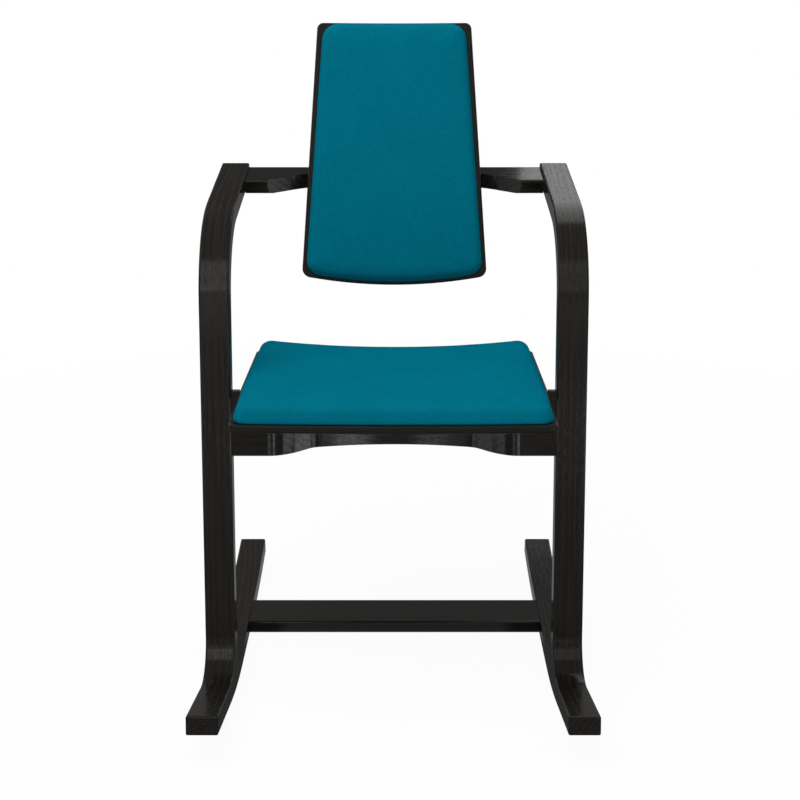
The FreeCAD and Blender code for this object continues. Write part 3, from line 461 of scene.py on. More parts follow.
@dataclass(frozen=True)
class StainedAsh:
    """Ash stained black under a satin lacquer that leaves the grain open."""

    dark: Colour = (0.0048, 0.0040, 0.0030, 1.0)
    light: Colour = (0.0140, 0.0116, 0.0086, 1.0)
    roughness: float = 0.10
    streak_roughness: float = 0.12
    pore_roughness: float = 0.18
    relief: float = 0.60
    relief_depth: float = 0.00025
    ring_width: float = 0.0075
    ring_swing: float = 9.0
    pore_tone: float = 0.35
    layer: float = 0.0
    layer_tone: float = 0.22

    FIGURE_GRAIN = (0.30, 0.020, 0.020)
    STREAK_GRAIN = (0.130, 0.0021, 0.0021)
    PORE_GRAIN = (0.014, 0.0005, 0.0005)
    RING_SLANT = (0.8, 0.6)
    RING_BAND = (-0.6, 0.9)
    STREAK_BAND = (0.30, 0.70)
    GLOSS_BAND = (0.34, 0.66)
    PORE_BAND = (0.54, 0.68)
    LAYER_BAND = (-0.5, 0.5)
    LATE_WOOD_PORES = 0.3
    TONE_SHARES = (0.55, 0.30, 0.15)
    HEIGHT_SHARES = (0.45, 0.25, 0.30)

    def _layers(self, depth: Signal) -> Signal:
        """Faint change of tone from one glued layer to the next, seen on the edges only."""
        return (depth * (math.pi / self.layer) + math.pi / 2).sine().ease(*self.LAYER_BAND)

    def material(self, name: str, run: GrainRun) -> bpy.types.Material:
        """Make the finish.

        Args:
            name: name of the material.
            run: way that the grain runs.

        Returns:
            The material.
        """
        sheet = NodeSheet.for_material(name)
        point = run.signals(sheet)
        _, across, depth = point
        figure = sheet.noise(point, self.FIGURE_GRAIN)
        slant = blend(self.RING_SLANT, across, depth)
        rings = (slant * (TURN / self.ring_width) + figure * self.ring_swing).sine()
        early_wood = rings.ease(*self.RING_BAND)
        streaks = sheet.noise(point, self.STREAK_GRAIN, detail=3.0)
        pores = sheet.noise(point, self.PORE_GRAIN, detail=1.0).ease(*self.PORE_BAND)
        pores = pores * (early_wood * (1 - self.LATE_WOOD_PORES) + self.LATE_WOOD_PORES)
        tone = blend(self.TONE_SHARES, streaks.ease(*self.STREAK_BAND), early_wood, figure)
        if self.layer:
            tone = tone + (self._layers(depth) - MIDDLE) * self.layer_tone
        tone = (tone - pores * self.pore_tone).between(0.0, 1.0)
        matt = streaks.ease(*self.GLOSS_BAND)
        height = blend(self.HEIGHT_SHARES, streaks, early_wood, 1 - pores)
        return sheet.surface({
            "Base Color": sheet.colours(tone, self.dark, self.light),
            "Roughness": matt * self.streak_roughness + pores * self.pore_roughness + self.roughness,
            "Normal": sheet.relief(height, self.relief, self.relief_depth),
        })


@dataclass(frozen=True)
class MouldedPly:
    """Moulded plywood shell in black lacquer, with its layers showing on the edges."""

    piece: PieceFrame
    half_width: float
    length: float
    thickness: float
    dish_front: float
    dish_rear: float
    face: float = 0.0
    layers: int = 7
    dark: Colour = (0.0048, 0.0045, 0.0040, 1.0)
    light: Colour = (0.0128, 0.0116, 0.0102, 1.0)
    roughness: float = 0.30
    pore_tone: float = 0.3
    relief: float = 0.35
    relief_depth: float = 0.00022

    STREAK_GRAIN = (0.120, 0.0024, 0.0024)
    PORE_GRAIN = (0.012, 0.0005, 0.0005)
    STREAK_BAND = (0.30, 0.72)
    PORE_BAND = (0.55, 0.70)
    PLY_BAND = (-0.7, 0.7)
    TONE_SHARES = (0.6, 0.35)
    ROUGHNESS_SHARES = (0.14, 0.12)
    HEIGHT_SHARES = (0.6, 0.4)

    def material(self, name: str) -> bpy.types.Material:
        """Make the finish.

        Args:
            name: name of the material.

        Returns:
            The material.
        """
        sheet = NodeSheet.for_material(name)
        x, y, z = self.piece.signals(sheet)
        dish = (y / self.length).between(0.0, 1.0) * (self.dish_rear - self.dish_front) + self.dish_front
        sideways = x / self.half_width
        depth = self.face - z - dish * (1 - sideways * sideways)
        ply = (depth * (self.layers * math.pi / self.thickness)).sine().ease(*self.PLY_BAND)
        point = (y, x, depth)
        streaks = sheet.noise(point, self.STREAK_GRAIN, detail=3.0)
        pores = sheet.noise(point, self.PORE_GRAIN, detail=1.0).ease(*self.PORE_BAND)
        tone = blend(self.TONE_SHARES, streaks.ease(*self.STREAK_BAND), ply) - pores * self.pore_tone
        height = blend(self.HEIGHT_SHARES, streaks, 1 - pores)
        return sheet.surface({
            "Base Color": sheet.colours(tone.between(0.0, 1.0), self.dark, self.light),
            "Roughness": blend(self.ROUGHNESS_SHARES, pores, streaks) + self.roughness,
            "Normal": sheet.relief(height, self.relief, self.relief_depth),
        })


@dataclass(frozen=True)
class WovenCover:
    """Teal wool cover in a fine plain weave, stretched over the edges of a pad."""

    piece: PieceFrame
    half_width: float
    near_end: float
    far_end: float
    crest: float
    deep: Colour = (0.0004, 0.098, 0.150, 1.0)
    bright: Colour = (0.0012, 0.182, 0.262, 1.0)
    thread: float = 0.0012
    thread_swing: float = 0.9
    turn_over: float = 0.030
    roughness: float = 0.95
    relief: float = 0.55
    relief_depth: float = 0.0005

    SWING_GRAIN = even(0.012)
    WEFT_GRAIN = (0.0095, 0.0011, 0.004)
    WARP_GRAIN = (0.0011, 0.0095, 0.004)
    FUZZ_GRAIN = even(0.0004)
    CLOUD_GRAIN = even(0.09)
    TONE_SHARES = (1.3, 0.16, 0.35, 0.30)
    HEIGHT_SHARES = (0.35, 0.35, 0.30)

    def _cloth_point(self, sheet: NodeSheet) -> Point:
        """Coordinates in the cloth, which runs on down the sides of the pad.

        Args:
            sheet: the material's node tree.

        Returns:
            The distances along the weft and the warp, and the depth under the pad's crest.
        """
        x, y, z = self.piece.signals(sheet)
        drop = self.crest - z
        middle = (self.near_end + self.far_end) / 2
        reach = (self.far_end - self.near_end) / 2
        along = y - middle
        right = x.ease(self.half_width - self.turn_over, self.half_width)
        left = (-x).ease(self.half_width - self.turn_over, self.half_width)
        far = along.ease(reach - self.turn_over, reach)
        near = (-along).ease(reach - self.turn_over, reach)
        return x + drop * (right - left), along + drop * (far - near), drop

    def material(self, name: str) -> bpy.types.Material:
        """Make the finish.

        Args:
            name: name of the material.

        Returns:
            The material.
        """
        sheet = NodeSheet.for_material(name)
        point = self._cloth_point(sheet)
        weft, warp, _ = point
        swing = sheet.noise(point, self.SWING_GRAIN) * self.thread_swing
        pitch = math.pi / self.thread
        weave = (weft * pitch + swing).sine() * (warp * pitch + swing).sine()
        yarn = (sheet.noise(point, self.WEFT_GRAIN) + sheet.noise(point, self.WARP_GRAIN)) / 2
        fuzz = sheet.noise(point, self.FUZZ_GRAIN, detail=1.0)
        cloud = sheet.noise(point, self.CLOUD_GRAIN)
        tone = blend(self.TONE_SHARES, yarn - MIDDLE, weave, fuzz - MIDDLE, cloud - MIDDLE) + MIDDLE
        height = blend(self.HEIGHT_SHARES, weave, yarn, fuzz)
        return sheet.surface({
            "Base Color": sheet.colours(tone.between(0.0, 1.0), self.deep, self.bright),
            "Roughness": self.roughness,
            "Specular IOR Level": 0.0,
            "Normal": sheet.relief(height, self.relief, self.relief_depth),
        })


@dataclass(frozen=True)
class CloudedFinish:
    """A finish of two tones in soft clouds, with a fine skin over them."""

    first: Colour
    second: Colour
    cloud_grain: Grain
    cloud_band: tuple[float, float]
    skin_grain: Grain
    roughness: float
    roughness_shares: tuple[float, float]
    relief: float
    relief_depth: float
    metallic: float = 0.0
    cloud_detail: float = 2.0

    def material(self, name: str) -> bpy.types.Material:
        """Make the finish.

        Args:
            name: name of the material.

        Returns:
            The material.
        """
        sheet = NodeSheet.for_material(name)
        point = sheet.place()
        cloud = sheet.noise(point, self.cloud_grain, self.cloud_detail)
        skin = sheet.noise(point, self.skin_grain)
        return sheet.surface({
            "Base Color": sheet.colours(cloud.ease(*self.cloud_band), self.first, self.second),
            "Metallic": self.metallic,
            "Roughness": blend(self.roughness_shares, cloud, skin) + self.roughness,
            "Normal": sheet.relief(skin, self.relief, self.relief_depth),
        })


# Black coat on the pressed steel of the hinge, with its orange peel
POWDER_COAT = CloudedFinish(
    first=(0.010, 0.010, 0.011, 1.0), second=(0.026, 0.026, 0.028, 1.0),
    cloud_grain=even(0.012), cloud_band=(0.40, 0.80), skin_grain=even(0.0007),
    roughness=0.42, roughness_shares=(0.14, 0.0), relief=0.35, relief_depth=0.00015,
)
# Plated steel of the bolts, nuts, screws and pin
ZINC_PLATE = CloudedFinish(
    first=(0.62, 0.63, 0.64, 1.0), second=(0.40, 0.41, 0.43, 1.0),
    cloud_grain=even(0.004), cloud_band=(0.35, 0.70), skin_grain=(0.0006, 0.006, 0.0006),
    roughness=0.16, roughness_shares=(0.16, 0.12), relief=0.15, relief_depth=0.0001,
    metallic=1.0, cloud_detail=3.0,
)
# Buffers of the hinge
BUFFER_RUBBER = CloudedFinish(
    first=(0.012, 0.012, 0.012, 1.0), second=(0.026, 0.026, 0.025, 1.0),
    cloud_grain=even(0.006), cloud_band=(0.35, 0.75), skin_grain=even(0.0005),
    roughness=0.68, roughness_shares=(0.0, 0.10), relief=0.30, relief_depth=0.0001,
)
# Bearing bushes of the hinge, in the same mould skin as the buffers
BUSH_PLASTIC = replace(
    BUFFER_RUBBER, first=(0.050, 0.050, 0.048, 1.0), second=(0.075, 0.074, 0.070, 1.0), roughness=0.45)
# Poplar plywood of the boards inside the pads, streaked along its grain
RAW_BOARD = CloudedFinish(
    first=(0.56, 0.42, 0.26, 1.0), second=(0.38, 0.25, 0.13, 1.0),
    cloud_grain=(0.004, 0.090, 0.090), cloud_band=(0.35, 0.70), skin_grain=(0.0006, 0.012, 0.012),
    roughness=0.62, roughness_shares=(0.0, 0.15), relief=0.30, relief_depth=0.0002,
    cloud_detail=3.0,
)


# Helpers on objects


def dress(material: bpy.types.Material, *names: str) -> None:
    """Give CAD nodes a finish.

    Args:
        material: the finish.
        names: the nodes that get it.
    """
    for name in names:
        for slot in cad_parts[name].material_slots:
            slot.material = material
        log.info("dressed %s in %s", name, material.name)


def choose_only(piece: bpy.types.Object) -> None:
    """Select one object, and nothing else, as the active one.

    Args:
        piece: the object.
    """
    bpy.ops.object.select_all(action="DESELECT")
    piece.select_set(True)
    bpy.context.view_layer.objects.active = piece


# Sub-assemblies


@dataclass(frozen=True)
class CoverShape:
    """How a taut cover changes the outline of a pad.

    Its corners are rounder than the foam's. Each draw is the share by which the cover is narrower at an end,
    or shorter, than the foam, and is below zero where the cover stands out.
    """

    piece: PieceFrame
    near_corner: tuple[float, float]
    far_corner: tuple[float, float]
    foam_radius: float
    near_radius: float
    far_radius: float
    near_draw: float
    far_draw: float
    end_draw: float

    def _foam_reach(self, cosine: float, sine: float, radius: float) -> float:
        """Distance to the foam's outline from the centre of the cover's corner.

        Args:
            cosine: cosine of the direction, measured from straight sideways.
            sine: its sine.
            radius: radius of the cover's corner.

        Returns:
            The distance.
        """
        straight = radius - self.foam_radius
        steeper, flatter = max(cosine, sine), min(cosine, sine)
        if radius * flatter <= straight * steeper:
            return radius / steeper
        chord = self.foam_radius ** 2 - (straight * (cosine - sine)) ** 2
        return straight * (cosine + sine) + math.sqrt(chord)

    def _round_corner(self, spot: Vector, corner: tuple[float, float], radius: float, way: int) -> None:
        """Draw a local point in if it is in one of the two corners at an end.

        Args:
            spot: the point, which moves.
            corner: tip of the corner on the right.
            radius: radius of the cover's corner.
            way: 1 at the far end, -1 at the near one.
        """
        sideways = abs(spot.x) - corner[0] + radius
        along = (spot.y - corner[1]) * way + radius
        if min(sideways, along) > 0.0:
            away = math.hypot(sideways, along)
            share = 1 - radius / self._foam_reach(sideways / away, along / away, radius)
            spot.x -= math.copysign(sideways * share, spot.x)
            spot.y -= along * share * way

    def pull(self, point: Vector) -> Vector:
        """Where the cover takes a point of the foam.

        Args:
            point: the point in the chair.

        Returns:
            The point, drawn in.
        """
        spot = self.piece.local(point)
        self._round_corner(spot, self.near_corner, self.near_radius, -1)
        self._round_corner(spot, self.far_corner, self.far_radius, 1)
        near_end, far_end = self.near_corner[1], self.far_corner[1]
        reach = (spot.y - near_end) / (far_end - near_end)
        spot.x *= 1 - self.near_draw - (self.far_draw - self.near_draw) * reach * reach
        spot.y -= (spot.y - near_end) * self.end_draw
        return self.piece.in_chair(spot)


@dataclass
class Pad:
    """An upholstered pad: foam under a tight cover, swelled by a cloth simulation."""

    name: str
    node: str
    shell: str
    body: str
    cover: WovenCover
    shape: CoverShape
    voxel: float = 0.0045
    shrink: float = 0.0005
    pressure: float = 4.0
    most_swell: float = 0.0010
    last_frame: int = 20
    held_below: float = 0.006
    free_above: float = 0.010
    fill: float = 0.85

    HELD_GROUP = "held_base"
    MERGE_DISTANCE = 0.01 * MILLIMETRE
    CLOTH_QUALITY = 6
    CLOTH_STIFFNESS = 20.0
    CLOTH_BENDING = 1.0
    SMOOTHING = 0.5
    SMOOTHING_ROUNDS = 2

    def build(self) -> None:
        """Make the pad and set it on its shell."""
        pad = self._copy_of_solid()
        self._remesh(pad)
        self._lay_on_solid(pad)
        held = self._hold_base(pad)
        self._swell(pad, held)
        self._smooth(pad)
        self._staple_base(pad)
        for vertex in pad.data.vertices:
            vertex.co = self.shape.pull(vertex.co)
        pad.data.materials.clear()
        pad.data.materials.append(self.cover.material(self.name + "_cover"))
        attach(pad, self.body)
        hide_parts(self.node)
        log.info("built %s with %d faces", self.name, len(pad.data.polygons))

    def _copy_of_solid(self) -> bpy.types.Object:
        """Copy of the pad's solid with its triangles joined up.

        Returns:
            The copy, at the origin.
        """
        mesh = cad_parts[self.node].data.copy()
        mesh.name = self.name
        pad = bpy.data.objects.new(self.name, mesh)
        bpy.context.scene.collection.objects.link(pad)
        choose_only(pad)
        bpy.ops.object.mode_set(mode="EDIT")
        bpy.ops.mesh.select_all(action="SELECT")
        bpy.ops.mesh.remove_doubles(threshold=self.MERGE_DISTANCE)
        bpy.ops.mesh.normals_make_consistent(inside=False)
        bpy.ops.object.mode_set(mode="OBJECT")
        return pad

    def _remesh(self, pad: bpy.types.Object) -> None:
        """Give the pad an even net of small faces."""
        pad.data.remesh_voxel_size = self.voxel
        bpy.ops.object.voxel_remesh()

    def _lay_on_solid(self, pad: bpy.types.Object, group: str = "") -> None:
        """Lay the net on the solid's own surface, so that its edges run true.

        Args:
            pad: the pad.
            group: vertex group of the points to lay, or all of them where it is empty.
        """
        wrap = pad.modifiers.new("wrap", "SHRINKWRAP")
        wrap.vertex_group = group
        wrap.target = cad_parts[self.node]
        wrap.wrap_method = "NEAREST_SURFACEPOINT"
        bpy.ops.object.modifier_apply(modifier=wrap.name)

    def _hold_base(self, pad: bpy.types.Object) -> list[float]:
        """Mark the points near the shell, which the cover's staples hold, and pull in the others.

        Args:
            pad: the remeshed pad.

        Returns:
            How firmly each point is held, from 0 to 1.
        """
        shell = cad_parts[self.shell]
        group = pad.vertex_groups.new(name=self.HELD_GROUP)
        held = []
        for vertex in pad.data.vertices:
            nearest = shell.closest_point_on_mesh(vertex.co)[1]
            height = (vertex.co - nearest).length
            free = (height - self.held_below) / (self.free_above - self.held_below)
            held.append(1 - min(max(free, 0.0), 1.0))
        inward = [vertex.normal.copy() for vertex in pad.data.vertices]
        for vertex, normal, firm in zip(pad.data.vertices, inward, held):
            vertex.co -= normal * (self.shrink * (1 - firm))
            group.add([vertex.index], firm, "REPLACE")
        return held

    def _swell(self, pad: bpy.types.Object, held: list[float]) -> None:
        """Blow the cover up over the foam, no further than the foam fills it.

        Args:
            pad: the remeshed pad.
            held: how firmly each point is held.
        """
        before = [vertex.co.copy() for vertex in pad.data.vertices]
        cloth = pad.modifiers.new("cover", "CLOTH")
        settings = cloth.settings
        settings.quality = self.CLOTH_QUALITY
        settings.use_pressure = True
        settings.uniform_pressure_force = self.pressure
        settings.vertex_group_mass = self.HELD_GROUP
        settings.effector_weights.gravity = 0.0
        settings.tension_stiffness = self.CLOTH_STIFFNESS
        settings.compression_stiffness = self.CLOTH_STIFFNESS
        settings.bending_stiffness = self.CLOTH_BENDING
        cloth.point_cache.frame_start = 1
        cloth.point_cache.frame_end = self.last_frame
        scene = bpy.context.scene
        for step in range(1, self.last_frame + 1):
            scene.frame_set(step)
        choose_only(pad)
        bpy.ops.object.modifier_apply(modifier=cloth.name)
        scene.frame_set(1)
        for vertex, start, firm in zip(pad.data.vertices, before, held):
            move = vertex.co - start
            limit = self.most_swell * (1 - firm)
            if move.length > limit:
                vertex.co = start + move * (limit / move.length)

    def _smooth(self, pad: bpy.types.Object) -> None:
        """Even out the net and round it once.

        Args:
            pad: the swelled pad.
        """
        choose_only(pad)
        bpy.ops.object.mode_set(mode="EDIT")
        bpy.ops.mesh.select_all(action="SELECT")
        bpy.ops.mesh.vertices_smooth(factor=self.SMOOTHING, repeat=self.SMOOTHING_ROUNDS)
        bpy.ops.object.mode_set(mode="OBJECT")
        rounding = pad.modifiers.new("rounding", "SUBSURF")
        rounding.levels = 1
        rounding.render_levels = 1
        bpy.ops.object.modifier_apply(modifier=rounding.name)
        bpy.ops.object.shade_smooth()

    def _staple_base(self, pad: bpy.types.Object) -> None:
        """Draw the held points back to the solid, so that the cover meets the shell all round."""
        self._lay_on_solid(pad, self.HELD_GROUP)
        pad.vertex_groups.clear()


@dataclass
class SideFrames:
    """Bent armrest and leg strips, and the runners under them."""

    strips: tuple[str, ...] = ("arm_leg_left", "arm_leg_right")
    runners: tuple[str, ...] = ("runner_left", "runner_right")
    strip_layer: float = 0.0026

    def dress(self) -> None:
        """Give the side frames their stained ash."""
        strip_ash = StainedAsh(layer=self.strip_layer)
        dress(strip_ash.material("strip_ash", GrainRun.ALONG_STRIP), *self.strips)
        dress(StainedAsh().material("runner_ash", GrainRun.FRONT_TO_BACK), *self.runners)


@dataclass
class Crossbars:
    """Boards across the chair and the bolts that draw the side frames to them."""

    boards: tuple[str, ...] = ("stretcher", "back_bar", "seat_bar", "seat_cleat")
    fasteners: tuple[str, ...] = ("frame_bolts", "frame_barrel_nuts")

    def dress(self, plate: bpy.types.Material) -> None:
        """Give the boards their stained ash and the bolts their plating.

        Args:
            plate: finish of the fasteners.
        """
        planed_ash = StainedAsh(roughness=0.06, streak_roughness=0.06, relief=0.28)
        dress(planed_ash.material("board_ash", GrainRun.ACROSS_CHAIR), *self.boards)
        dress(plate, *self.fasteners)


@dataclass
class Seat:
    """Dished seat shell with its pad and fixings."""

    half_width: float = 0.225
    length: float = 0.414
    thickness: float = 0.0115
    dish_front: float = 0.002
    dish_rear: float = 0.014
    pad_border: float = 0.0053
    pad_front_border: float = 0.002
    pad_height: float = 0.025
    front_draw: float = 0.0035
    fasteners: tuple[str, ...] = ("seat_bolts", "seat_tee_nuts", "seat_pad_screws")

    def build(self) -> None:
        """Make the seat pad."""
        cover = WovenCover(
            piece=SEAT_FRAME,
            half_width=self.half_width - self.pad_border,
            near_end=self.pad_front_border,
            far_end=self.length - self.pad_border,
            crest=self.pad_height,
        )
        shape = CoverShape(
            piece=SEAT_FRAME,
            near_corner=(cover.half_width - self.front_draw, cover.near_end),
            far_corner=(cover.half_width, cover.far_end),
            foam_radius=0.016,
            near_radius=0.018,
            far_radius=0.026,
            near_draw=0.0030,
            far_draw=0.0085,
            end_draw=0.008,
        )
        Pad("seat_upholstery", "seat_cushion", "seat_shell", "frame", cover, shape).build()

    def dress(self, plate: bpy.types.Material, board: bpy.types.Material) -> None:
        """Give the shell its lacquer and the fixings their finishes.

        Args:
            plate: finish of the fasteners.
            board: finish of the board inside the pad.
        """
        lacquer = MouldedPly(
            SEAT_FRAME, self.half_width, self.length, self.thickness, self.dish_front, self.dish_rear)
        dress(lacquer.material("seat_ply"), "seat_shell")
        dress(plate, *self.fasteners)
        dress(board, "seat_pad_board")


@dataclass
class Backrest:
    """Curved back shell with its pad and fixings."""

    half_width: float = 0.1486
    top_half_width: float = 0.1216
    above_hinge: float = 0.2443
    below_hinge: float = 0.169
    thickness: float = 0.010
    face: float = 0.021
    dish: float = 0.006
    pad_border: float = 0.0078
    pad_top_border: float = 0.003
    pad_height: float = 0.019
    foot_corner: float = 0.016
    fasteners: tuple[str, ...] = ("back_tee_nuts", "back_pad_screws", "hinge_leaf_screws")

    def build(self) -> None:
        """Make the back pad."""
        cover = WovenCover(
            piece=BACK_FRAME,
            half_width=self.half_width - self.pad_border,
            near_end=-self.below_hinge,
            far_end=self.above_hinge,
            crest=self.face + self.pad_height,
        )
        shape = CoverShape(
            piece=BACK_FRAME,
            near_corner=(cover.half_width, self.foot_corner - self.below_hinge),
            far_corner=(self.top_half_width - self.pad_border, self.above_hinge - self.pad_top_border),
            foam_radius=0.015,
            near_radius=0.022,
            far_radius=0.024,
            near_draw=-0.004,
            far_draw=0.016,
            end_draw=0.001,
        )
        Pad("back_upholstery", "back_cushion", "back_shell", "backrest", cover, shape).build()

    def dress(self, plate: bpy.types.Material, board: bpy.types.Material) -> None:
        """Give the shell its lacquer and the fixings their finishes.

        Args:
            plate: finish of the fasteners.
            board: finish of the board inside the pad.
        """
        lacquer = MouldedPly(
            BACK_FRAME, self.half_width, self.above_hinge, self.thickness, self.dish, self.dish, self.face)
        dress(lacquer.material("back_ply"), "back_shell")
        dress(plate, *self.fasteners)
        dress(board, "back_pad_board")


@dataclass
class TiltHinge:
    """Hinge that lets the backrest tilt on the back bar."""

    plates: tuple[str, ...] = ("hinge_base", "hinge_leaf")
    plated: tuple[str, ...] = ("hinge_base_screws", "hinge_pin", "hinge_clip")

    def dress(self, plate: bpy.types.Material) -> None:
        """Give the hinge its coat, plating, rubber and bushes.

        Args:
            plate: finish of the small steel parts.
        """
        dress(POWDER_COAT.material("hinge_coat"), *self.plates)
        dress(plate, *self.plated)
        dress(BUFFER_RUBBER.material("buffer_rubber"), "hinge_buffers")
        dress(BUSH_PLASTIC.material("bush_plastic"), "hinge_bushes")


# Studio


@dataclass
class SoftBox:
    """A rectangular lamp that faces a point."""

    name: str
    place: Place
    target: Place
    width: float
    height: float
    radiance: float
    in_reflections: bool = True

    def build(self) -> None:
        """Hang the lamp."""
        lamp = bpy.data.lights.new(self.name, "AREA")
        lamp.shape = "RECTANGLE"
        lamp.size = self.width
        lamp.size_y = self.height
        lamp.energy = self.radiance * math.pi * self.width * self.height
        box = bpy.data.objects.new(self.name, lamp)
        box.location = self.place
        aim = Vector(self.target) - Vector(self.place)
        box.rotation_euler = aim.to_track_quat("-Z", "Y").to_euler()
        box.visible_camera = False
        box.visible_glossy = self.in_reflections
        bpy.context.scene.collection.objects.link(box)
        log.info("hung %s", self.name)


@dataclass(frozen=True)
class SideLevels:
    """Radiance of the lamps that stand on one side in front, which differs from side to side."""

    name: str
    way: int
    brow: float
    cheek: float
    bow: float
    near: float
    far: float


@dataclass(frozen=True)
class FloorPatch:
    """A stretch of the floor that glows for mirrored rays only, so that it shows bright in the lacquer as a
    painted reflection.
    """

    low: tuple[float, float]
    high: tuple[float, float]
    level: float
    soft: float = 0.10

    def signal(self, x: Signal, y: Signal) -> Signal:
        """Painted glow at a point of the floor, fading out past the edges.

        Args:
            x: the point's place across the chair.
            y: its place from front to back.

        Returns:
            The level inside, 0 well outside.
        """
        shade = x.ease(self.low[0] - self.soft, self.low[0]) * self.level
        for way, edge in ((y, self.low[1]), (-x, -self.high[0]), (-y, -self.high[1])):
            shade = shade * way.ease(edge - self.soft, edge)
        return shade


@dataclass
class Studio:
    """White floor, dim room, soft boxes and the camera."""

    floor_half_size: float = 60.0
    floor_white: float = 0.95
    floor_reflection: float = 0.05
    shadow_reach: tuple[float, float] = (1.0, 4.0)
    matt_white: Colour = (0.90, 0.90, 0.90, 1.0)
    room_light: float = 0.28
    horizon_reflection: float = 0.17
    low_reflection: float = 0.065
    high_reflection: float = 0.16
    horizon_band: tuple[float, float] = (0.08, 0.25)
    high_band: tuple[float, float] = (0.45, 0.85)
    # Glowing stretches of the floor, seen only in reflections: painted reflections for the wood's
    # highlights.
    patches: tuple[FloorPatch, ...] = (
        FloorPatch((-12.0, -59.0), (12.0, -0.55), 0.10),
        FloorPatch((-1.2, 0.10), (1.2, 1.60), 0.20),
        FloorPatch((-0.17, -0.10), (0.17, 0.05), 0.20, soft=0.03),
    )
    sides: tuple[SideLevels, ...] = (
        SideLevels("left", -1, brow=0.95, cheek=0.42, bow=1.0, near=0.8, far=0.8),
        SideLevels("right", 1, brow=0.47, cheek=0.20, bow=2.0, near=1.4, far=2.0),
    )
    seat_point: Place = (0.0, 0.0, 0.5)
    arm_end_point: Place = (0.258, 0.107, 0.889)
    stretcher_point: Place = (0.0, 0.1, 0.05)
    camera_place: Place = (0.0090, -1.904, 1.037)
    camera_pitch: float = math.radians(72.0)
    lens: float = 60.0
    sensor: float = 36.0

    def _middle_boxes(self) -> list[SoftBox]:
        """Lamps above the chair, and two panels behind it for single pieces.

        Returns:
            The lamps.
        """
        return [
            SoftBox("key_box", (-0.6, -0.70, 2.82), self.seat_point,
                    width=2.0, height=2.0, radiance=4.1, in_reflections=False),
            SoftBox("top_box", (0.0, 0.1, 3.0), self.seat_point,
                    width=2.2, height=2.2, radiance=0.50, in_reflections=False),
            SoftBox("rear_panel", (0.49, 1.11, 1.865), self.arm_end_point,
                    width=0.52, height=1.58, radiance=1.02),
            SoftBox("low_panel", (0.0, 1.0, 0.5), self.stretcher_point,
                    width=1.0, height=0.4, radiance=0.10),
        ]

    def _side_boxes(self, side: SideLevels) -> list[SoftBox]:
        """Lamps of one side: those in front show in the legs and the seat bar, the others in the rear.

        Args:
            side: which side, and how bright its lamps in front are.

        Returns:
            The lamps.
        """
        leg = (side.way * 0.26, -0.05, 0.6)
        far_bend = (side.way * -0.14, -0.04, 0.42)
        return [
            SoftBox("brow_box_" + side.name, (side.way * 0.62, -2.6, 2.47), leg,
                    width=0.6, height=2.0, radiance=side.brow),
            SoftBox("cheek_panel_" + side.name, (side.way * 0.62, -2.6, 1.2), leg,
                    width=0.6, height=0.9, radiance=side.cheek),
            SoftBox("bow_strip_" + side.name, (side.way * 0.24, -3.0, 0.42), far_bend,
                    width=0.20, height=0.3, radiance=side.bow),
            SoftBox("near_strip_" + side.name, (side.way * 1.53, -1.9, 0.36), far_bend,
                    width=1.25, height=0.3, radiance=side.near),
            SoftBox("far_strip_" + side.name, (side.way * 2.2, -1.1, 0.10), far_bend,
                    width=0.9, height=0.2, radiance=side.far),
            SoftBox("side_panel_" + side.name, (side.way * 3.0, 0.9, 1.4), self.seat_point,
                    width=2.0, height=1.8, radiance=0.6),
            SoftBox("rear_fill_" + side.name, (side.way * 1.9, 2.6, 1.7), self.seat_point,
                    width=1.4, height=1.6, radiance=1.0),
        ]

    def hang_lamps(self) -> None:
        """Hang the soft boxes."""
        boxes = self._middle_boxes()
        for side in self.sides:
            boxes += self._side_boxes(side)
        for box in boxes:
            box.build()

    def lay_floor(self) -> None:
        """Lay the white floor."""
        bpy.ops.object.select_all(action="DESELECT")
        bpy.ops.mesh.primitive_plane_add(size=2 * self.floor_half_size)
        floor = bpy.context.object
        floor.name = "studio_floor"
        floor.data.materials.append(self._floor_finish())

    def _floor_finish(self) -> bpy.types.Material:
        """White floor that keeps the shadow; in reflections it glows dim, with brighter glowing patches as
        painted reflections.

        Returns:
            The material.
        """
        sheet = NodeSheet.for_material("studio_white")
        seen, mirrored = self._ray_kinds(sheet)
        x, y, _ = sheet.place()
        # Painted reflection: the floor's glow for mirrored rays, a dim level with brighter patches, not
        # lamplight.
        reflected_glow = self.floor_reflection + sum(patch.signal(x, y) for patch in self.patches)
        level = 1 - mirrored * (1 - reflected_glow)
        away = (x * x + y * y).ease(*self.shadow_reach)
        share = seen * (away * (1 - self.floor_white) + self.floor_white) + mirrored
        matt = sheet.add("ShaderNodeBsdfDiffuse", None, {"Color": self.matt_white})
        white = sheet.add("ShaderNodeEmission", None, {"Color": sheet.colours(level, BLACK, WHITE)})
        ways = (share, Signal(sheet, matt.outputs[0]), Signal(sheet, white.outputs[0]))
        mixed = sheet.add("ShaderNodeMixShader", None, dict(enumerate(ways)))
        sheet.add("ShaderNodeOutputMaterial", None, {"Surface": Signal(sheet, mixed.outputs[0])})
        return sheet.owner

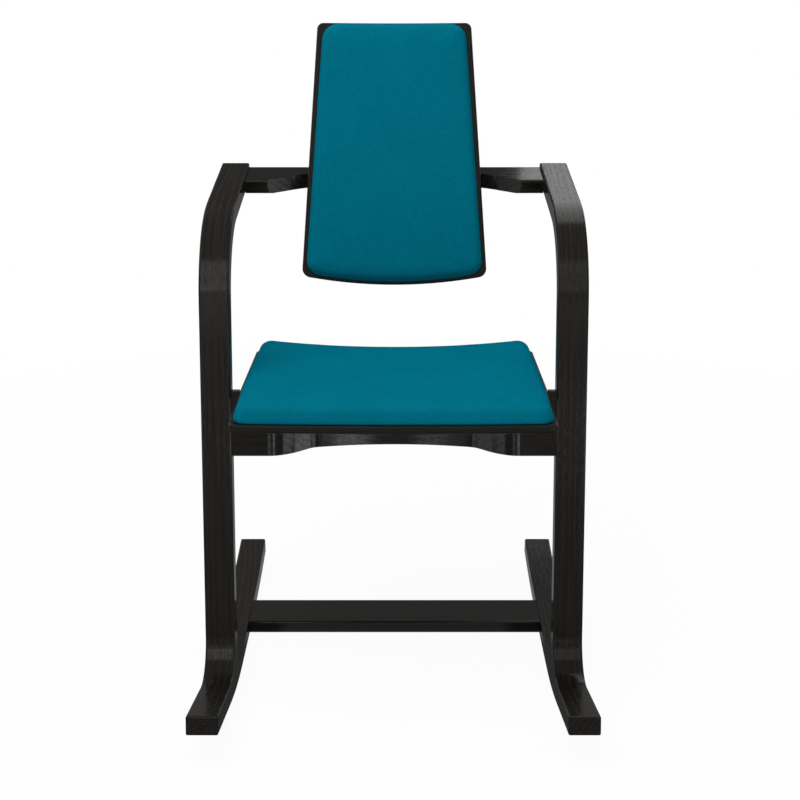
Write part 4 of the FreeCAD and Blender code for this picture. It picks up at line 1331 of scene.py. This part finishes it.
    def _ray_kinds(self, sheet: NodeSheet) -> tuple[Signal, Signal]:
        """Masks of the rays that the camera sends and of those that come off a glossy surface.

        Args:
            sheet: the node tree.

        Returns:
            One for camera rays, also through glass, and one for mirrored rays.
        """
        rays = sheet.add("ShaderNodeLightPath")
        camera, through, glossy = (
            Signal(sheet, rays.outputs[name])
            for name in ("Is Camera Ray", "Is Transmission Ray", "Is Glossy Ray"))
        seen = (camera + through).between(0.0, 1.0)
        return seen, glossy * (1 - seen)

    def fill_room(self) -> None:
        """Fill the room with a little light, and show it white to the camera."""
        world = bpy.data.worlds.new("studio_room")
        bpy.context.scene.world = world
        sheet = NodeSheet(world)
        seen, mirrored = self._ray_kinds(sheet)
        up = sheet.place()[2]
        rise = up.ease(*self.high_band) * (self.high_reflection - self.low_reflection)
        fall = up.ease(*self.horizon_band) * (self.low_reflection - self.horizon_reflection)
        reflection = rise + fall + self.horizon_reflection
        dim = mirrored * (reflection - self.room_light) + self.room_light
        level = dim + (1 - dim) * seen
        room = sheet.add("ShaderNodeBackground", None, {"Color": sheet.colours(level, BLACK, WHITE)})
        sheet.add("ShaderNodeOutputWorld", None, {"Surface": Signal(sheet, room.outputs[0])})

    def set_camera(self) -> None:
        """Stand the camera where the photograph was taken."""
        lens = bpy.data.cameras.new("photo_camera")
        lens.lens = self.lens
        lens.sensor_width = self.sensor
        lens.clip_end = 2 * self.floor_half_size
        camera = bpy.data.objects.new("photo_camera", lens)
        camera.location = self.camera_place
        camera.rotation_euler = (self.camera_pitch, 0.0, 0.0)
        bpy.context.scene.collection.objects.link(camera)
        bpy.context.scene.camera = camera
        bpy.context.scene.view_settings.view_transform = "Standard"


def main() -> None:
    """Build the pads, dress every piece and set up the studio."""
    logging.basicConfig(level=logging.INFO, format="%(name)s: %(message)s")
    plate = ZINC_PLATE.material("zinc_plate")
    board = RAW_BOARD.material("raw_board")
    SideFrames().dress()
    Crossbars().dress(plate)
    seat = Seat()
    seat.build()
    seat.dress(plate, board)
    back = Backrest()
    back.build()
    back.dress(plate, board)
    TiltHinge().dress(plate)
    studio = Studio()
    studio.lay_floor()
    studio.fill_room()
    studio.hang_lamps()
    studio.set_camera()


if __name__ == "__main__":
    main()
